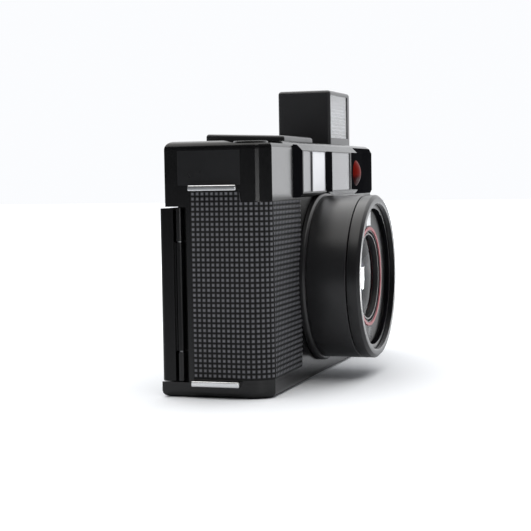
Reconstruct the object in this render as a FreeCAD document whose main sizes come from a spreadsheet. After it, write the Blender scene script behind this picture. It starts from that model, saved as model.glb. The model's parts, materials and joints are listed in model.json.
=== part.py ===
import FreeCAD
import Part
import Sketcher
import math
import os

# Compact 35 mm film camera, in millimetres.
# X runs along the body, from the grip end (-X) to the latch end (+X). The lens points to -Y.
# Z = 0 is the underside of the base, and the origin is the mouth of the tripod socket.

doc = FreeCAD.newDocument("compact_camera")

# Driving dimensions
DIMENSIONS = {
    # case
    "body_width": 131.0,
    "body_depth": 34.2,
    "body_height": 76.3,
    "shell_wall": 1.6,
    "corner_reach_x": 4.5,
    "corner_reach_y": 8.4,
    "rear_corner": 1.5,
    "case_back_depth": 29.0,
    "cover_back_depth": 32.1,
    "base_height": 4.6,
    "front_seam": 58.5,
    "side_seam": 63.3,
    "skirt_low": 57.0,
    "top_round": 2.4,
    "base_round": 2.0,
    "moving_gap": 0.3,
    # back door and its hinge
    "door_thick": 1.8,
    "door_top": 56.6,
    "door_flange_wall": 1.6,
    "door_skin": 0.3,
    "hinge_inset": 1.2,
    "hinge_depth": 28.2,
    "hinge_radius": 1.1,
    "hinge_pin_radius": 0.6,
    "hinge_groove_depth": 2.5,
    "low_knuckle_top": 13.6,
    "high_knuckle_low": 46.7,
    "flange_lead": 1.5,
    "film_window_wide": 8.0,
    "film_window_tall": 28.0,
    "pane_thick": 1.0,
    # leatherette
    "skin_thick": 0.4,
    "grip_skin_end": 32.8,
    "grip_skin_depth": 24.0,
    "left_skin_start": 24.0,
    # window surround and its windows
    "surround_proud": 2.0,
    "surround_left": 35.7,
    "surround_inset": 10.0,
    "surround_lip": 4.0,
    "surround_top": 75.3,
    "surround_low": 58.9,
    "surround_top_bevel": 1.8,
    "surround_low_bevel": 1.2,
    "window_low": 60.6,
    "window_sill": 0.5,
    "window_high": 73.2,
    "window_one_start": 34.7,
    "window_one_end": 25.4,
    "finder_window_start": 24.2,
    "finder_window_end": 8.4,
    "window_two_start": 0.6,
    "window_two_end": 23.6,
    "lamp_offset": 31.7,
    "lamp_height": 66.3,
    "lamp_radius": 4.5,
    "lamp_bulge": 1.6,
    # viewfinder
    "hump_front_rise": 2.0,
    "hump_back_rise": 3.0,
    "hump_left": 34.0,
    "hump_right": 1.8,
    "hump_front_depth": 4.4,
    "hump_back_depth": 30.4,
    "hump_bevel": 0.5,
    "tunnel_wall": 1.2,
    "eyepiece_proud": 1.4,
    "eyepiece_half": 4.0,
    "eyepiece_sill": 2.0,
    "eyepiece_head": 2.4,
    "module_depth": 8.0,
    # flash
    "flash_inset": 5.1,
    "flash_wide": 28.4,
    "flash_front_depth": 7.4,
    "flash_back_depth": 27.0,
    "flash_top": 96.2,
    "flash_wall": 1.4,
    "flash_travel": 15.9,
    "flash_flange": 0.8,
    "flash_flange_thick": 1.0,
    "flash_round": 1.2,
    "flash_window_left": 1.0,
    "flash_window_right": 3.6,
    "flash_window_low": 79.2,
    "flash_window_high": 94.6,
    "flash_tube_radius": 1.6,
    "post_radius": 1.2,
    "spring_wire": 0.8,
    # lens
    "lens_offset": 7.9,
    "lens_height": 32.4,
    "lens_flange_lead": 1.1,
    "lens_flange_thick": 2.0,
    "barrel_radius": 26.6,
    "barrel_wall": 2.4,
    "barrel_reach": 14.8,
    "lens_room": 12.4,
    "cell_play": 0.07,
    "sleeve_wall": 1.3,
    "lens_reach": 19.2,
    "ring_seat": 1.2,
    "running_play": 0.06,
    "ring_bevel": 0.9,
    "nose_wall": 2.6,
    "thread_depth": 1.5,
    "thread_lip": 2.1,
    "name_ring_recess": 3.2,
    "name_ring_thick": 0.9,
    "name_ring_clear": 0.5,
    "accent_start": 1.0,
    "accent_wide": 1.0,
    "accent_thick": 0.3,
    "ring_window_inset": 3.1,
    "light_window_wide": 5.6,
    "light_window_tall": 4.4,
    "speed_window_size": 4.0,
    "cell_wall": 1.2,
    "spigot_step": 1.6,
    "front_lens_seat": 0.6,
    "middle_lens_step": 5.2,
    "rear_lens_step": 6.2,
    # shutter
    "shutter_rim": 5.3,
    "shutter_thick": 5.0,
    "shutter_plate": 1.0,
    "shutter_aperture": 6.2,
    "blade_thick": 0.5,
    "blade_radius": 7.4,
    "blade_pin_inset": 5.5,
    "blade_pin_radius": 1.0,
    # chassis
    "film_plane_depth": 30.0,
    "gate_wide": 36.0,
    "gate_tall": 24.0,
    "gate_plate": 2.0,
    "deck_low": 53.6,
    "deck_thick": 1.2,
    "floor_high": 12.6,
    "floor_thick": 1.5,
    "spool_inset": 29.6,
    "spool_depth": 19.0,
    "spool_chamber": 10.6,
    "chamber_wall": 0.9,
    "cassette_inset": 17.1,
    "cassette_depth": 18.0,
    "cassette_radius": 13.0,
    "cassette_tall": 47.8,
    "sprocket_radius": 6.0,
    "sprocket_tooth": 0.9,
    "drum_tall": 4.5,
    "film_plate_thick": 0.7,
    # film drive
    "spool_radius": 6.0,
    "axle_radius": 1.5,
    "gear_module": 0.6,
    "gear_thick": 2.0,
    "motor_radius": 6.5,
    "motor_tall": 13.0,
    "motor_shaft_radius": 0.75,
    "bracket_thick": 1.2,
    "fork_radius": 4.4,
    "capacitor_lead": 4.0,
    "capacitor_radius": 6.5,
    "capacitor_tall": 36.0,
    # battery box
    "cell_slot_radius": 7.4,
    "cell_inset": 10.5,
    "arm_wide": 3.0,
    "cell_front_depth": 9.0,
    "cell_back_depth": 23.7,
    "cell_top": 52.4,
    "battery_roof": 54.0,
    "battery_roof_thick": 0.8,
    # controls
    "button_inset": 11.0,
    "button_depth": 8.6,
    "button_radius": 5.2,
    "button_top": 76.2,
    "button_travel": 1.4,
    "dish_radius": 10.5,
    "dish_depth": 0.9,
    "counter_inset": 10.0,
    "counter_thick": 1.0,
    "counter_depth": 22.6,
    "counter_radius": 6.5,
    "slider_long": 7.0,
    "slider_wide": 4.0,
    "slider_travel": 3.0,
    "slider_depth": 14.0,
    "rewind_lead": 22.4,
    # fastenings
    "socket_radius": 3.175,
    "socket_length": 5.5,
    "bush_radius": 5.0,
    "bush_flange_radius": 7.0,
    "lug_long": 15.0,
    "lug_thick": 1.2,
    "lug_tall": 1.7,
    "lug_stand": 0.9,
    "lug_front_depth": 9.2,
    "high_lug": 61.6,
    "low_lug": 3.6,
    "screw_radius": 0.8,
    "screw_head_radius": 1.6,
    "screw_head_thick": 0.9,
    "screw_left_lead": 5.9,
    "screw_left_depth": 9.1,
    "screw_middle_lead": 19.9,
    "screw_middle_depth": 25.1,
    "screw_right_inset": 4.4,
    "screw_right_depth": 6.1,
}


class Size:
    """A length that keeps, beside its number, the sheet expression that it comes from."""

    def __init__(self, value, text):
        self.value = value
        self.text = text

    def joined(self, sign, other, value):
        return Size(value, "(" + self.text + " " + sign + " " + text_of(other) + ")")

    def __add__(self, other):
        return self.joined("+", other, self.value + number(other))

    def __radd__(self, other):
        return as_size(other) + self

    def __sub__(self, other):
        return self.joined("-", other, self.value - number(other))

    def __rsub__(self, other):
        return as_size(other) - self

    def __mul__(self, other):
        return self.joined("*", other, self.value * number(other))

    def __rmul__(self, other):
        return as_size(other) * self

    def __truediv__(self, other):
        return self.joined("/", other, self.value / number(other))

    def __neg__(self):
        return as_size(0) - self

    def at_least(self, other):
        value = max(self.value, number(other))
        return Size(value, "max(" + self.text + "; " + text_of(other) + ")")


def as_size(item):
    return item if isinstance(item, Size) else Size(item, repr(float(item)))


def number(item):
    return float(item.value) if isinstance(item, Size) else float(item)


def text_of(item):
    return as_size(item).text


class Sheet:
    """The driving dimensions, each one read by its name."""


sheet = doc.addObject("Spreadsheet::Sheet", "Sizes")
d = Sheet()
for row, (alias, value) in enumerate(DIMENSIONS.items(), start=1):
    sheet.set("A" + str(row), alias.replace("_", " "))
    sheet.set("B" + str(row), str(value))
    sheet.setAlias("B" + str(row), alias)
    setattr(d, alias, Size(value, "Sizes." + alias))
doc.recompute()


# Planes and centres that several pieces share
left_x = -d.body_width / 2
right_x = d.body_width / 2
front_y = -d.body_depth / 2
back_y = d.body_depth / 2
wall = d.shell_wall
gap = d.moving_gap
inner_left = left_x + wall
inner_right = right_x - wall
inner_front = front_y + wall
case_back = front_y + d.case_back_depth
cover_back = front_y + d.cover_back_depth
film_y = front_y + d.film_plane_depth
door_inner = back_y - d.door_thick
hinge_x = left_x + d.hinge_inset
hinge_y = front_y + d.hinge_depth
flange_front = hinge_y + d.flange_lead
door_low = d.base_height + gap
lens_x = -d.lens_offset
lens_z = d.lens_height
surround_y = front_y - d.surround_proud
ceiling = d.body_height - wall
spool_x = left_x + d.spool_inset
cassette_x = right_x - d.cassette_inset
cell_x = left_x + d.cell_inset
frame_right = cassette_x - d.cassette_radius
flash_right = right_x - d.flash_inset
flash_left = flash_right - d.flash_wide
# Lens radii, each from the one outside it
lens_flange_radius = d.barrel_radius + d.lens_flange_lead
spigot_radius = d.barrel_radius - d.spigot_step
thread_radius = d.barrel_radius - d.nose_wall
name_ring_radius = thread_radius - d.thread_lip
cell_radius = d.barrel_radius - d.lens_room
front_lens_radius = cell_radius - d.front_lens_seat
middle_lens_radius = cell_radius - d.middle_lens_step
rear_lens_radius = cell_radius - d.rear_lens_step
barrel_bore = cell_radius + d.cell_play
shutter_radius = cell_radius + d.shutter_rim
# The windows always clear the lens flange
window_low = d.window_low.at_least(lens_z + lens_flange_radius + d.window_sill)
PAST = 1.0
GEAR_TEETH = 28
PINION_TEETH = 9
SPROCKET_TEETH = 8

nodes = []


# Building blocks: each makes one object of the document, bound to the sheet
def drive(item, name, size):
    if isinstance(size, Size):
        item.setExpression(name, size.text)
    else:
        setattr(item, name, size)


def place(item, x, y, z, turn=None):
    if turn is not None:
        item.Placement = FreeCAD.Placement(FreeCAD.Vector(0, 0, 0), turn)
    for axis, size in zip("xyz", (x, y, z)):
        item.setExpression(".Placement.Base." + axis, text_of(size))


def made(item):
    item.recompute()
    return item


def box(name, x, y, z):
    """A block between two values of X, Y and Z."""
    item = doc.addObject("Part::Box", name)
    for side, (low, high) in zip(("Length", "Width", "Height"), (x, y, z)):
        drive(item, side, as_size(high) - low)
    place(item, x[0], y[0], z[0])
    return made(item)


TURNS = {
    "X": FreeCAD.Rotation(FreeCAD.Vector(0, 1, 0), 90),
    "Y": FreeCAD.Rotation(FreeCAD.Vector(1, 0, 0), -90),
    "Z": FreeCAD.Rotation(),
}


def centre_of(axis, centre, start):
    if axis == "X":
        return start, centre[0], centre[1]
    if axis == "Y":
        return centre[0], start, centre[1]
    return centre[0], centre[1], start


def rod(name, axis, centre, span, radius):
    """A cylinder along one axis, between the two values of span."""
    item = doc.addObject("Part::Cylinder", name)
    drive(item, "Radius", radius)
    drive(item, "Height", as_size(span[1]) - span[0])
    place(item, *centre_of(axis, centre, span[0]), TURNS[axis])
    return made(item)


def sleeve(name, axis, centre, span, outer, inner):
    """A plain tube."""
    return cut(name, rod(name + "_outer", axis, centre, span, outer),
               rod(name + "_inner", axis, centre, (span[0] - PAST, as_size(span[1]) + PAST), inner))


def cone(name, axis, centre, span, radii):
    """A cone along one axis, with a radius at each end of span."""
    item = doc.addObject("Part::Cone", name)
    drive(item, "Radius1", radii[0])
    drive(item, "Radius2", radii[1])
    drive(item, "Height", as_size(span[1]) - span[0])
    place(item, *centre_of(axis, centre, span[0]), TURNS[axis])
    return made(item)


def join(name, *parts):
    item = doc.addObject("Part::MultiFuse", name)
    item.Shapes = list(parts)
    item.Refine = True
    return made(item)


def group(name, *parts):
    """Separate solids kept in one object."""
    item = doc.addObject("Part::Compound", name)
    item.Links = list(parts)
    return made(item)


def cut(name, base, *tools):
    item = doc.addObject("Part::Cut", name)
    item.Base = base
    item.Tool = tools[0] if len(tools) == 1 else group(name + "_tools", *tools)
    item.Refine = True
    return made(item)


def common(name, first, second):
    item = doc.addObject("Part::Common", name)
    item.Base = first
    item.Tool = second
    item.Refine = True
    return made(item)


def edges_where(base, test):
    found = []
    for index, edge in enumerate(base.Shape.Edges, start=1):
        if test(edge.BoundBox):
            found.append(index)
    return found


def softened(kind, name, base, size, test):
    """Rounds or bevels the edges of base whose bounding box passes the test."""
    item = doc.addObject("Part::" + kind, name)
    item.Base = base
    item.Edges = [(index, number(size), number(size)) for index in edges_where(base, test)]
    return made(item)


def level(value, tolerance=0.01):
    """A test for edges that lie in the plane Z = value."""
    target = number(value)
    return lambda b: abs(b.ZMin - target) < tolerance and abs(b.ZMax - target) < tolerance


def upright(b):
    return b.XLength < 0.01 and b.YLength < 0.01 and b.ZLength > 0.1


def plane_of(body, role):
    return [item for item in body.Origin.OriginFeatures if item.Role == role][0]


def arc_between(start, end, radius):
    """The short arc from start to end. A positive radius bulges to the right of the way there."""
    chord = end - start
    rise = math.sqrt(max(radius ** 2 - (chord.Length / 2) ** 2, 0))
    side = FreeCAD.Vector(-chord.y, chord.x, 0)
    side.normalize()
    centre = (start + end) / 2 + side * math.copysign(rise, radius)
    ends = (start, end) if radius > 0 else (end, start)
    angles = [math.atan2(spot.y - centre.y, spot.x - centre.x) for spot in ends]
    circle = Part.Circle(centre, FreeCAD.Vector(0, 0, 1), abs(radius))
    return Part.ArcOfCircle(circle, *angles)


def outline(sketch, corners):
    """A closed outline. A corner is (u, v), or (u, v, radius) where the edge that leaves it is an
    arc. In an anticlockwise outline a positive radius bulges outwards, a negative one inwards."""
    spots = [FreeCAD.Vector(number(c[0]), number(c[1]), 0) for c in corners]
    count = len(corners)
    first_point = []
    for index, corner in enumerate(corners):
        start = spots[index]
        end = spots[(index + 1) % count]
        if len(corner) == 2:
            sketch.addGeometry(Part.LineSegment(start, end))
        else:
            sketch.addGeometry(arc_between(start, end, number(corner[2])))
        inward = len(corner) == 3 and number(corner[2]) < 0
        first_point.append(2 if inward else 1)
    for index in range(count):
        after = (index + 1) % count
        ends = (index, 3 - first_point[index], after, first_point[after])
        sketch.addConstraint(Sketcher.Constraint("Coincident", *ends))
    for index, corner in enumerate(corners):
        for kind, size, axis in (("DistanceX", corner[0], -2), ("DistanceY", corner[1], -1)):
            spot = (index, first_point[index])
            if not isinstance(size, Size) and size == 0:
                sketch.addConstraint(Sketcher.Constraint("PointOnObject", *spot, axis))
                continue
            added = sketch.addConstraint(Sketcher.Constraint(kind, -1, 1, *spot, number(size)))
            sketch.setExpression("Constraints[" + str(added) + "]", text_of(size))
        if len(corner) == 3:
            radius = corner[2] if number(corner[2]) > 0 else -corner[2]
            added = sketch.addConstraint(Sketcher.Constraint("Radius", index, number(radius)))
            sketch.setExpression("Constraints[" + str(added) + "]", text_of(radius))


def sketched(name, role, corners):
    """A body with one sketch on one of its origin planes."""
    body = doc.addObject("PartDesign::Body", name)
    sketch = body.newObject("Sketcher::SketchObject", name + "_sketch")
    sketch.AttachmentSupport = [(plane_of(body, role), "")]
    sketch.MapMode = "FlatFace"
    outline(sketch, corners)
    return body, sketch


def prism(name, corners, z):
    """An outline in X and Y, raised between two heights."""
    body, sketch = sketched(name, "XY_Plane", corners)
    pad = body.newObject("PartDesign::Pad", name + "_pad")
    pad.Profile = sketch
    drive(pad, "Length", as_size(z[1]) - z[0])
    place(body, 0, 0, z[0])
    doc.recompute()
    return body


def turned(name, axis, centre, corners):
    """An outline of (radius, distance along the axis) turned about Y or Z."""
    role = "XY_Plane" if axis == "Y" else "XZ_Plane"
    body, sketch = sketched(name, role, corners)
    spin = body.newObject("PartDesign::Revolution", name + "_turn")
    spin.Profile = sketch
    spin.ReferenceAxis = (sketch, ["V_Axis"])
    spin.Angle = 360
    place(body, *centre_of(axis, centre, 0))
    doc.recompute()
    return body


def node(label, item):
    """Names a finished piece of the camera."""
    item.Label = label
    nodes.append(item)
    return item


def plan(inset, back):
    """The camera seen from above: bowed corners in front, small ones at the back."""
    reach_x = d.corner_reach_x - inset * 0.2
    reach_y = d.corner_reach_y - inset
    radius = (reach_x * reach_x + reach_y * reach_y) / (reach_x * 2)
    low_x = left_x + inset
    high_x = right_x - inset
    low_y = front_y + inset
    return [
        (low_x, low_y + reach_y, radius),
        (low_x + reach_x, low_y),
        (high_x - reach_x, low_y, radius),
        (high_x, low_y + reach_y),
        (high_x, back),
        (low_x, back),
    ]


# Front cover: a moulded band round the front and both ends, open at the back
side_panel_front = front_y + d.corner_reach_y
band_outer = prism("front_band", plan(as_size(0), case_back), (d.base_height, d.front_seam))
band_inner = prism("front_band_inside", plan(wall, case_back + PAST), (0, d.body_height))
end_walls = []
for end, low, high in (("grip", left_x, inner_left), ("latch", inner_right, right_x)):
    end_walls.append(box(end + "_end_wall", (low, high), (side_panel_front, case_back),
                         (d.front_seam, d.side_seam)))
groove_floor = left_x + d.hinge_groove_depth
groove_front = hinge_y - d.hinge_radius - wall
groove_block = box("hinge_groove_block", (left_x + wall / 2, groove_floor + wall / 3),
                   (groove_front - wall * 0.75, case_back), (d.base_height, d.skirt_low))
band_shell = cut("front_band_shell", band_outer, band_inner)
band_solid = join("front_band_joined", band_shell, groove_block, *end_walls)
hinge_groove = box("hinge_groove", (left_x - PAST, groove_floor), (groove_front, case_back + PAST),
                   (0, d.skirt_low))
lens_hole = rod("lens_hole", "Y", (lens_x, lens_z), (front_y - PAST, inner_front + PAST),
                shutter_radius + gap)
latch_y = (case_back + side_panel_front) / 2
latch_low = lens_z - d.slider_long
latch_high = lens_z + d.slider_long
latch_slot = box("latch_slot", (inner_right - PAST, right_x + PAST),
                 (latch_y - d.axle_radius, latch_y + d.axle_radius),
                 (lens_z - d.slider_wide, lens_z + d.slider_wide + d.slider_travel))
lug_slots = []
lug_front = front_y + d.lug_front_depth
lug_back = lug_front + d.lug_long
for which, low in (("high", d.high_lug), ("low", d.low_lug)):
    for end, start in (("front", lug_front), ("back", lug_back - d.lug_thick)):
        lug_slots.append(box(which + "_lug_slot_" + end, (left_x - PAST, inner_left + PAST),
                             (start, start + d.lug_thick), (low, low + d.lug_tall)))
lamp_room = rod("lamp_room", "Y", (d.lamp_offset, d.lamp_height), (front_y - PAST, inner_front + PAST),
                d.lamp_radius + gap)
band_cut = cut("front_band_cut", band_solid, hinge_groove, lens_hole, latch_slot, lamp_room, *lug_slots)
knuckles = []
for which, low, high in (("low", door_low, d.low_knuckle_top),
                         ("high", d.high_knuckle_low, d.door_top)):
    knuckles.append(rod(which + "_knuckle", "Z", (hinge_x, hinge_y), (low, high), d.hinge_radius))
    knuckles.append(box(which + "_knuckle_web", (hinge_x, groove_floor + wall / 4),
                        (hinge_y - d.hinge_radius / 2, hinge_y + d.hinge_radius / 2), (low, high)))
hinge_bore = rod("hinge_bore", "Z", (hinge_x, hinge_y), (0, d.skirt_low),
                 d.hinge_pin_radius + d.running_play)
node("front_cover", cut("front_cover_solid", join("front_cover_joined", band_cut, *knuckles),
                        hinge_bore))

# Hinge pin: a steel rod through all three knuckles
node("door_hinge_pin", rod("hinge_pin", "Z", (hinge_x, hinge_y), (door_low, d.door_top),
                           d.hinge_pin_radius))

# Bottom cover: a shallow tray with the tripod bush, the battery opening and the rewind slot
tray_outer = prism("base_tray", plan(as_size(0), back_y), (0, d.base_height))
tray_round = softened("Fillet", "base_tray_round", tray_outer, d.base_round, level(0))
tray_inner = prism("base_tray_inside", plan(wall, back_y - wall), (wall, d.base_height + PAST))
cell_front = front_y + d.cell_front_depth
cell_back = front_y + d.cell_back_depth


def cell_plan(radius):
    """Two round cells side by side: a slot with half-round ends."""
    return [
        (cell_x + radius, cell_front),
        (cell_x + radius, cell_back, radius),
        (cell_x, cell_back + radius, radius),
        (cell_x - radius, cell_back),
        (cell_x - radius, cell_front, radius),
        (cell_x, cell_front - radius, radius),
    ]


battery_hole = prism("battery_hole", cell_plan(d.cell_slot_radius + gap), (-PAST, wall + PAST))
arm_wide = d.arm_wide
arm_centres = (cell_front, cell_back - arm_wide * 2)
axis_x = cell_x + d.cell_slot_radius + gap + wall
axis_z = wall * 0.75
arm_slots = []
for index, arm_y in enumerate(arm_centres):
    arm_slots.append(box("arm_slot_" + str(index), (cell_x, axis_x + wall),
                         (arm_y - arm_wide / 2 - gap, arm_y + arm_wide / 2 + gap),
                         (-PAST, wall * 3)))
battery_pin = rod("battery_pin", "Y", (axis_x, axis_z), (cell_front - arm_wide, cell_back),
                  d.screw_radius - gap)
pin_boss = box("battery_pin_boss", (axis_x - wall * 0.75, axis_x + wall * 0.75),
               (cell_front - arm_wide * 2, cell_back), (wall / 2, wall * 1.75))
bush_hole = rod("bush_hole", "Z", (0, 0), (-PAST, wall + PAST), d.bush_radius)
rewind_x = cassette_x - d.rewind_lead
rewind_y = as_size(0)
recess_depth = wall * 0.75
rewind_boss = box("rewind_boss", (rewind_x - d.slider_long, rewind_x + d.slider_long),
                  (rewind_y - d.slider_wide, rewind_y + d.slider_wide), (wall / 2, wall * 1.5))
rewind_recess = box("rewind_recess",
                    (rewind_x - d.slider_long / 2 - gap,
                     rewind_x + d.slider_long / 2 + d.slider_travel + gap),
                    (rewind_y - d.slider_wide / 2 - gap, rewind_y + d.slider_wide / 2 + gap),
                    (-PAST, recess_depth))
rewind_slot = box("rewind_slot", (rewind_x - d.axle_radius - gap,
                                  rewind_x + d.axle_radius + d.slider_travel + gap),
                  (rewind_y - d.axle_radius / 2 - gap, rewind_y + d.axle_radius / 2 + gap),
                  (-PAST, wall * 2))
screw_spots = (
    (spool_x + d.screw_left_lead, front_y + d.screw_left_depth),
    (lens_x + d.screw_middle_lead, front_y + d.screw_middle_depth),
    (frame_right - d.screw_right_inset, front_y + d.screw_right_depth),
)
head_z = d.screw_head_thick
screw_holes = []
for index, (x, y) in enumerate(screw_spots):
    screw_holes.append(rod("screw_hole_" + str(index), "Z", (x, y), (-PAST, wall + PAST),
                           d.screw_radius + d.running_play))
    screw_holes.append(rod("screw_sink_" + str(index), "Z", (x, y), (-PAST, head_z),
                           d.screw_head_radius + d.running_play))
tray_solid = join("base_tray_joined", cut("base_tray_shell", tray_round, tray_inner), pin_boss,
                  rewind_boss)
tray_cut = cut("base_tray_cut", tray_solid, battery_hole, bush_hole, rewind_recess, rewind_slot,
               lug_slots[2], lug_slots[3], *arm_slots, *screw_holes)
node("bottom_cover", join("bottom_cover_solid", tray_cut, battery_pin))

# Tripod bush: a turned steel insert, tapped for the tripod screw
node("tripod_bush", turned("bush", "Z", (0, 0), [
    (d.socket_radius, 0),
    (d.bush_radius, 0),
    (d.bush_radius, wall),
    (d.bush_flange_radius, wall),
    (d.bush_flange_radius, wall * 1.75),
    (d.bush_radius, wall * 1.75),
    (d.bush_radius, d.socket_length),
    (d.socket_radius, d.socket_length),
]))

# Base screws: three alike, up through the bottom cover into the legs of the chassis
leg_screws = []
for index, (x, y) in enumerate(screw_spots):
    shank = rod("screw_shank_" + str(index), "Z", (x, y), (head_z / 2, d.floor_high - d.base_height),
                d.screw_radius)
    head = rod("screw_head_" + str(index), "Z", (x, y), (head_z / 4, head_z), d.screw_head_radius)
    cross = box("screw_cross_" + str(index), (x - d.screw_head_radius / 2, x + d.screw_head_radius / 2),
                (y - head_z / 6, y + head_z / 6), (0, head_z / 2))
    leg_screws.append(cut("screw_" + str(index), join("screw_joined_" + str(index), shank, head), cross))
node("base_screws", group("screws", *leg_screws))

# Battery door: a flush plate on two arms, with the bridge contact inside it
plate_wide = d.cell_slot_radius - gap * 0.7
door_plate = prism("battery_plate", cell_plan(plate_wide), (0.1, wall))
arms = []
for index, arm_y in enumerate(arm_centres):
    arms.append(box("battery_arm_" + str(index), (cell_x + plate_wide / 2, axis_x),
                    (arm_y - arm_wide / 2, arm_y + arm_wide / 2), (wall / 4, wall)))
    arms.append(rod("battery_eye_" + str(index), "Y", (axis_x, axis_z),
                    (arm_y - arm_wide / 2, arm_y + arm_wide / 2), wall * 0.6))
arm_bore = rod("battery_arm_bore", "Y", (axis_x, axis_z), (cell_front - arm_wide, cell_back),
               d.screw_radius - gap + d.running_play)
node("battery_door", cut("battery_door_solid", join("battery_door_joined", door_plate, *arms), arm_bore))
node("battery_bridge", box("bridge", (cell_x - plate_wide / 2, cell_x + plate_wide / 2),
                           (cell_front - plate_wide / 2, cell_back + plate_wide / 2),
                           (wall, wall + 0.4)))

# Top cover: a moulded cap with a longer skirt at the back, stepped ends and faceted front corners
FACETS = ((0.22, 0.52), (0.34, 0.64))
cap_corners = [(left_x, side_panel_front)]
for across, along in FACETS:
    cap_corners.append((left_x + d.corner_reach_x * across,
                        side_panel_front - d.corner_reach_y * along))
cap_corners.append((left_x + d.corner_reach_x, front_y))
cap_corners.append((right_x - d.corner_reach_x, front_y))
for across, along in reversed(FACETS):
    cap_corners.append((right_x - d.corner_reach_x * across,
                        side_panel_front - d.corner_reach_y * along))
cap_corners += [(right_x, side_panel_front), (right_x, cover_back), (left_x, cover_back)]
cap_block = prism("cap_block", cap_corners, (d.skirt_low, d.body_height))
cap_round = softened("Fillet", "cap_round", cap_block, d.top_round, level(d.body_height))
cap_inside = prism("cap_inside", plan(wall, cover_back - wall), (0, ceiling))
cap_front_clear = box("cap_front_clear", (left_x - PAST, right_x + PAST),
                      (front_y - PAST, case_back), (0, d.front_seam))
cap_end_clear = []
for end, low, high in (("grip", left_x - PAST, inner_left), ("latch", inner_right, right_x + PAST)):
    cap_end_clear.append(box(end + "_end_clear", (low, high), (side_panel_front, case_back),
                             (0, d.side_seam)))
surround_left = -d.surround_left
surround_right = right_x - d.surround_inset
surround_z = (d.surround_low, d.surround_top)
surround_clear = box("surround_clear", (surround_left, surround_right), (surround_y, inner_front),
                     surround_z)
flash_front = front_y + d.flash_front_depth
flash_back = front_y + d.flash_back_depth
flash_hole = box("flash_hole", (flash_left - gap, flash_right + gap),
                 (flash_front - gap, flash_back + gap), (ceiling - PAST, d.body_height + PAST))
button_x = left_x + d.button_inset
button_y = front_y + d.button_depth
dish = rod("finger_dish", "Z", (button_x, button_y),
           (d.body_height - d.dish_depth, d.body_height + PAST), d.dish_radius)
button_hole = rod("button_hole", "Z", (button_x, button_y),
                  (ceiling - PAST, d.body_height + PAST), d.button_radius + gap / 2)
counter_x = left_x + d.counter_inset
counter_y = front_y + d.counter_depth
counter_view = d.counter_radius * 0.65
counter_pane_radius = d.counter_radius * 0.35
counter_hole = rod("counter_hole", "Z", (counter_x, counter_y + counter_view),
                   (ceiling - PAST, d.body_height + PAST), counter_pane_radius)
finder_mid = -(d.finder_window_start + d.finder_window_end) / 2
eye_half = d.eyepiece_half
eye_low = window_low + d.eyepiece_sill
eye_high = d.window_high - d.eyepiece_head
eye_hole = box("eye_hole", (finder_mid - eye_half, finder_mid + eye_half),
               (cover_back - wall - PAST, cover_back + PAST), (eye_low, eye_high))
slider_y = front_y + d.slider_depth
slider_shares = (("self_timer_switch", 0.28994), ("flash_switch", 0.68935))
slider_spots = []
slider_slots = []
for name, share in slider_shares:
    x = (flash_left + d.hump_right) * share - d.hump_right
    slider_spots.append((name, x))
    slider_slots.append(box(name + "_slot", (x - d.axle_radius - gap,
                                             x + d.axle_radius + d.slider_travel + gap),
                            (slider_y - d.axle_radius / 2 - gap, slider_y + d.axle_radius / 2 + gap),
                            (ceiling - PAST, d.body_height + PAST)))
node("top_cover", cut("top_cover_solid", cap_round, cap_inside, cap_front_clear, surround_clear,
                      flash_hole, dish, button_hole, counter_hole, eye_hole,
                      *cap_end_clear, *slider_slots))

# Window surround: a bevelled frame let into the front of the top cover
lamp_z = d.lamp_height
surround_block = prism("surround_block", [
    (surround_left - d.surround_lip, front_y),
    (surround_left, surround_y),
    (surround_right, surround_y),
    (surround_right + d.surround_lip, front_y),
    (surround_right, front_y),
    (surround_right, inner_front),
    (surround_left, inner_front),
    (surround_left, front_y),
], surround_z)
surround_top = softened("Chamfer", "surround_top_bevel", surround_block, d.surround_top_bevel,
                        lambda b: level(d.surround_top)(b) and b.YMax < number(surround_y) + 0.01)
surround_low = softened("Chamfer", "surround_low_bevel", surround_top, d.surround_low_bevel,
                        lambda b: level(d.surround_low)(b) and b.YMax < number(surround_y) + 0.01)
pane_spans = (("rangefinder_pane_one", -d.window_one_start, -d.window_one_end),
              ("finder_pane", -d.finder_window_start, -d.finder_window_end),
              ("rangefinder_pane_two", -d.window_two_start, d.window_two_end))
pane_holes = []
panes = []
for name, low, high in pane_spans:
    pane_holes.append(box(name + "_hole", (low, high), (surround_y - PAST, inner_front + PAST),
                          (window_low, d.window_high)))
    panes.append(box(name, (low, high), (surround_y + gap, surround_y + gap + d.pane_thick),
                     (window_low, d.window_high)))
lamp_hole = rod("lamp_hole", "Y", (d.lamp_offset, lamp_z), (surround_y - PAST, inner_front + PAST),
                d.lamp_radius)
flange_clear = rod("flange_clear", "Y", (lens_x, lens_z), (surround_y - PAST, front_y),
                   lens_flange_radius + gap / 3)
node("window_surround", cut("surround_solid", surround_low, lamp_hole, flange_clear, *pane_holes))
node("front_windows", group("panes", *panes))


def dome_radius(radius, rise):
    """The radius of a sphere whose cap is this wide and this high."""
    return (radius * radius + rise * rise) / (rise * 2)


# Self-timer lamp: a red domed lens in the black end of the surround
node("timer_lamp", turned("lamp", "Y", (d.lamp_offset, lamp_z), [
    (0, surround_y - d.lamp_bulge, dome_radius(d.lamp_radius, d.lamp_bulge)),
    (d.lamp_radius, surround_y),
    (d.lamp_radius, inner_front),
    (0, inner_front),
]))



def wedge(name, y, front, back):
    """A block whose section in X and Z changes evenly from its front to its back."""
    item = doc.addObject("Part::Wedge", name)
    spans = {
        "Xmin": front[0][0], "Xmax": front[0][1], "Zmin": front[1][0], "Zmax": front[1][1],
        "X2min": back[0][0], "X2max": back[0][1], "Z2min": back[1][0], "Z2max": back[1][1],
        "Ymin": y[0], "Ymax": y[1],
    }
    for side, size in spans.items():
        drive(item, side, as_size(size))
    return made(item)


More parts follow.
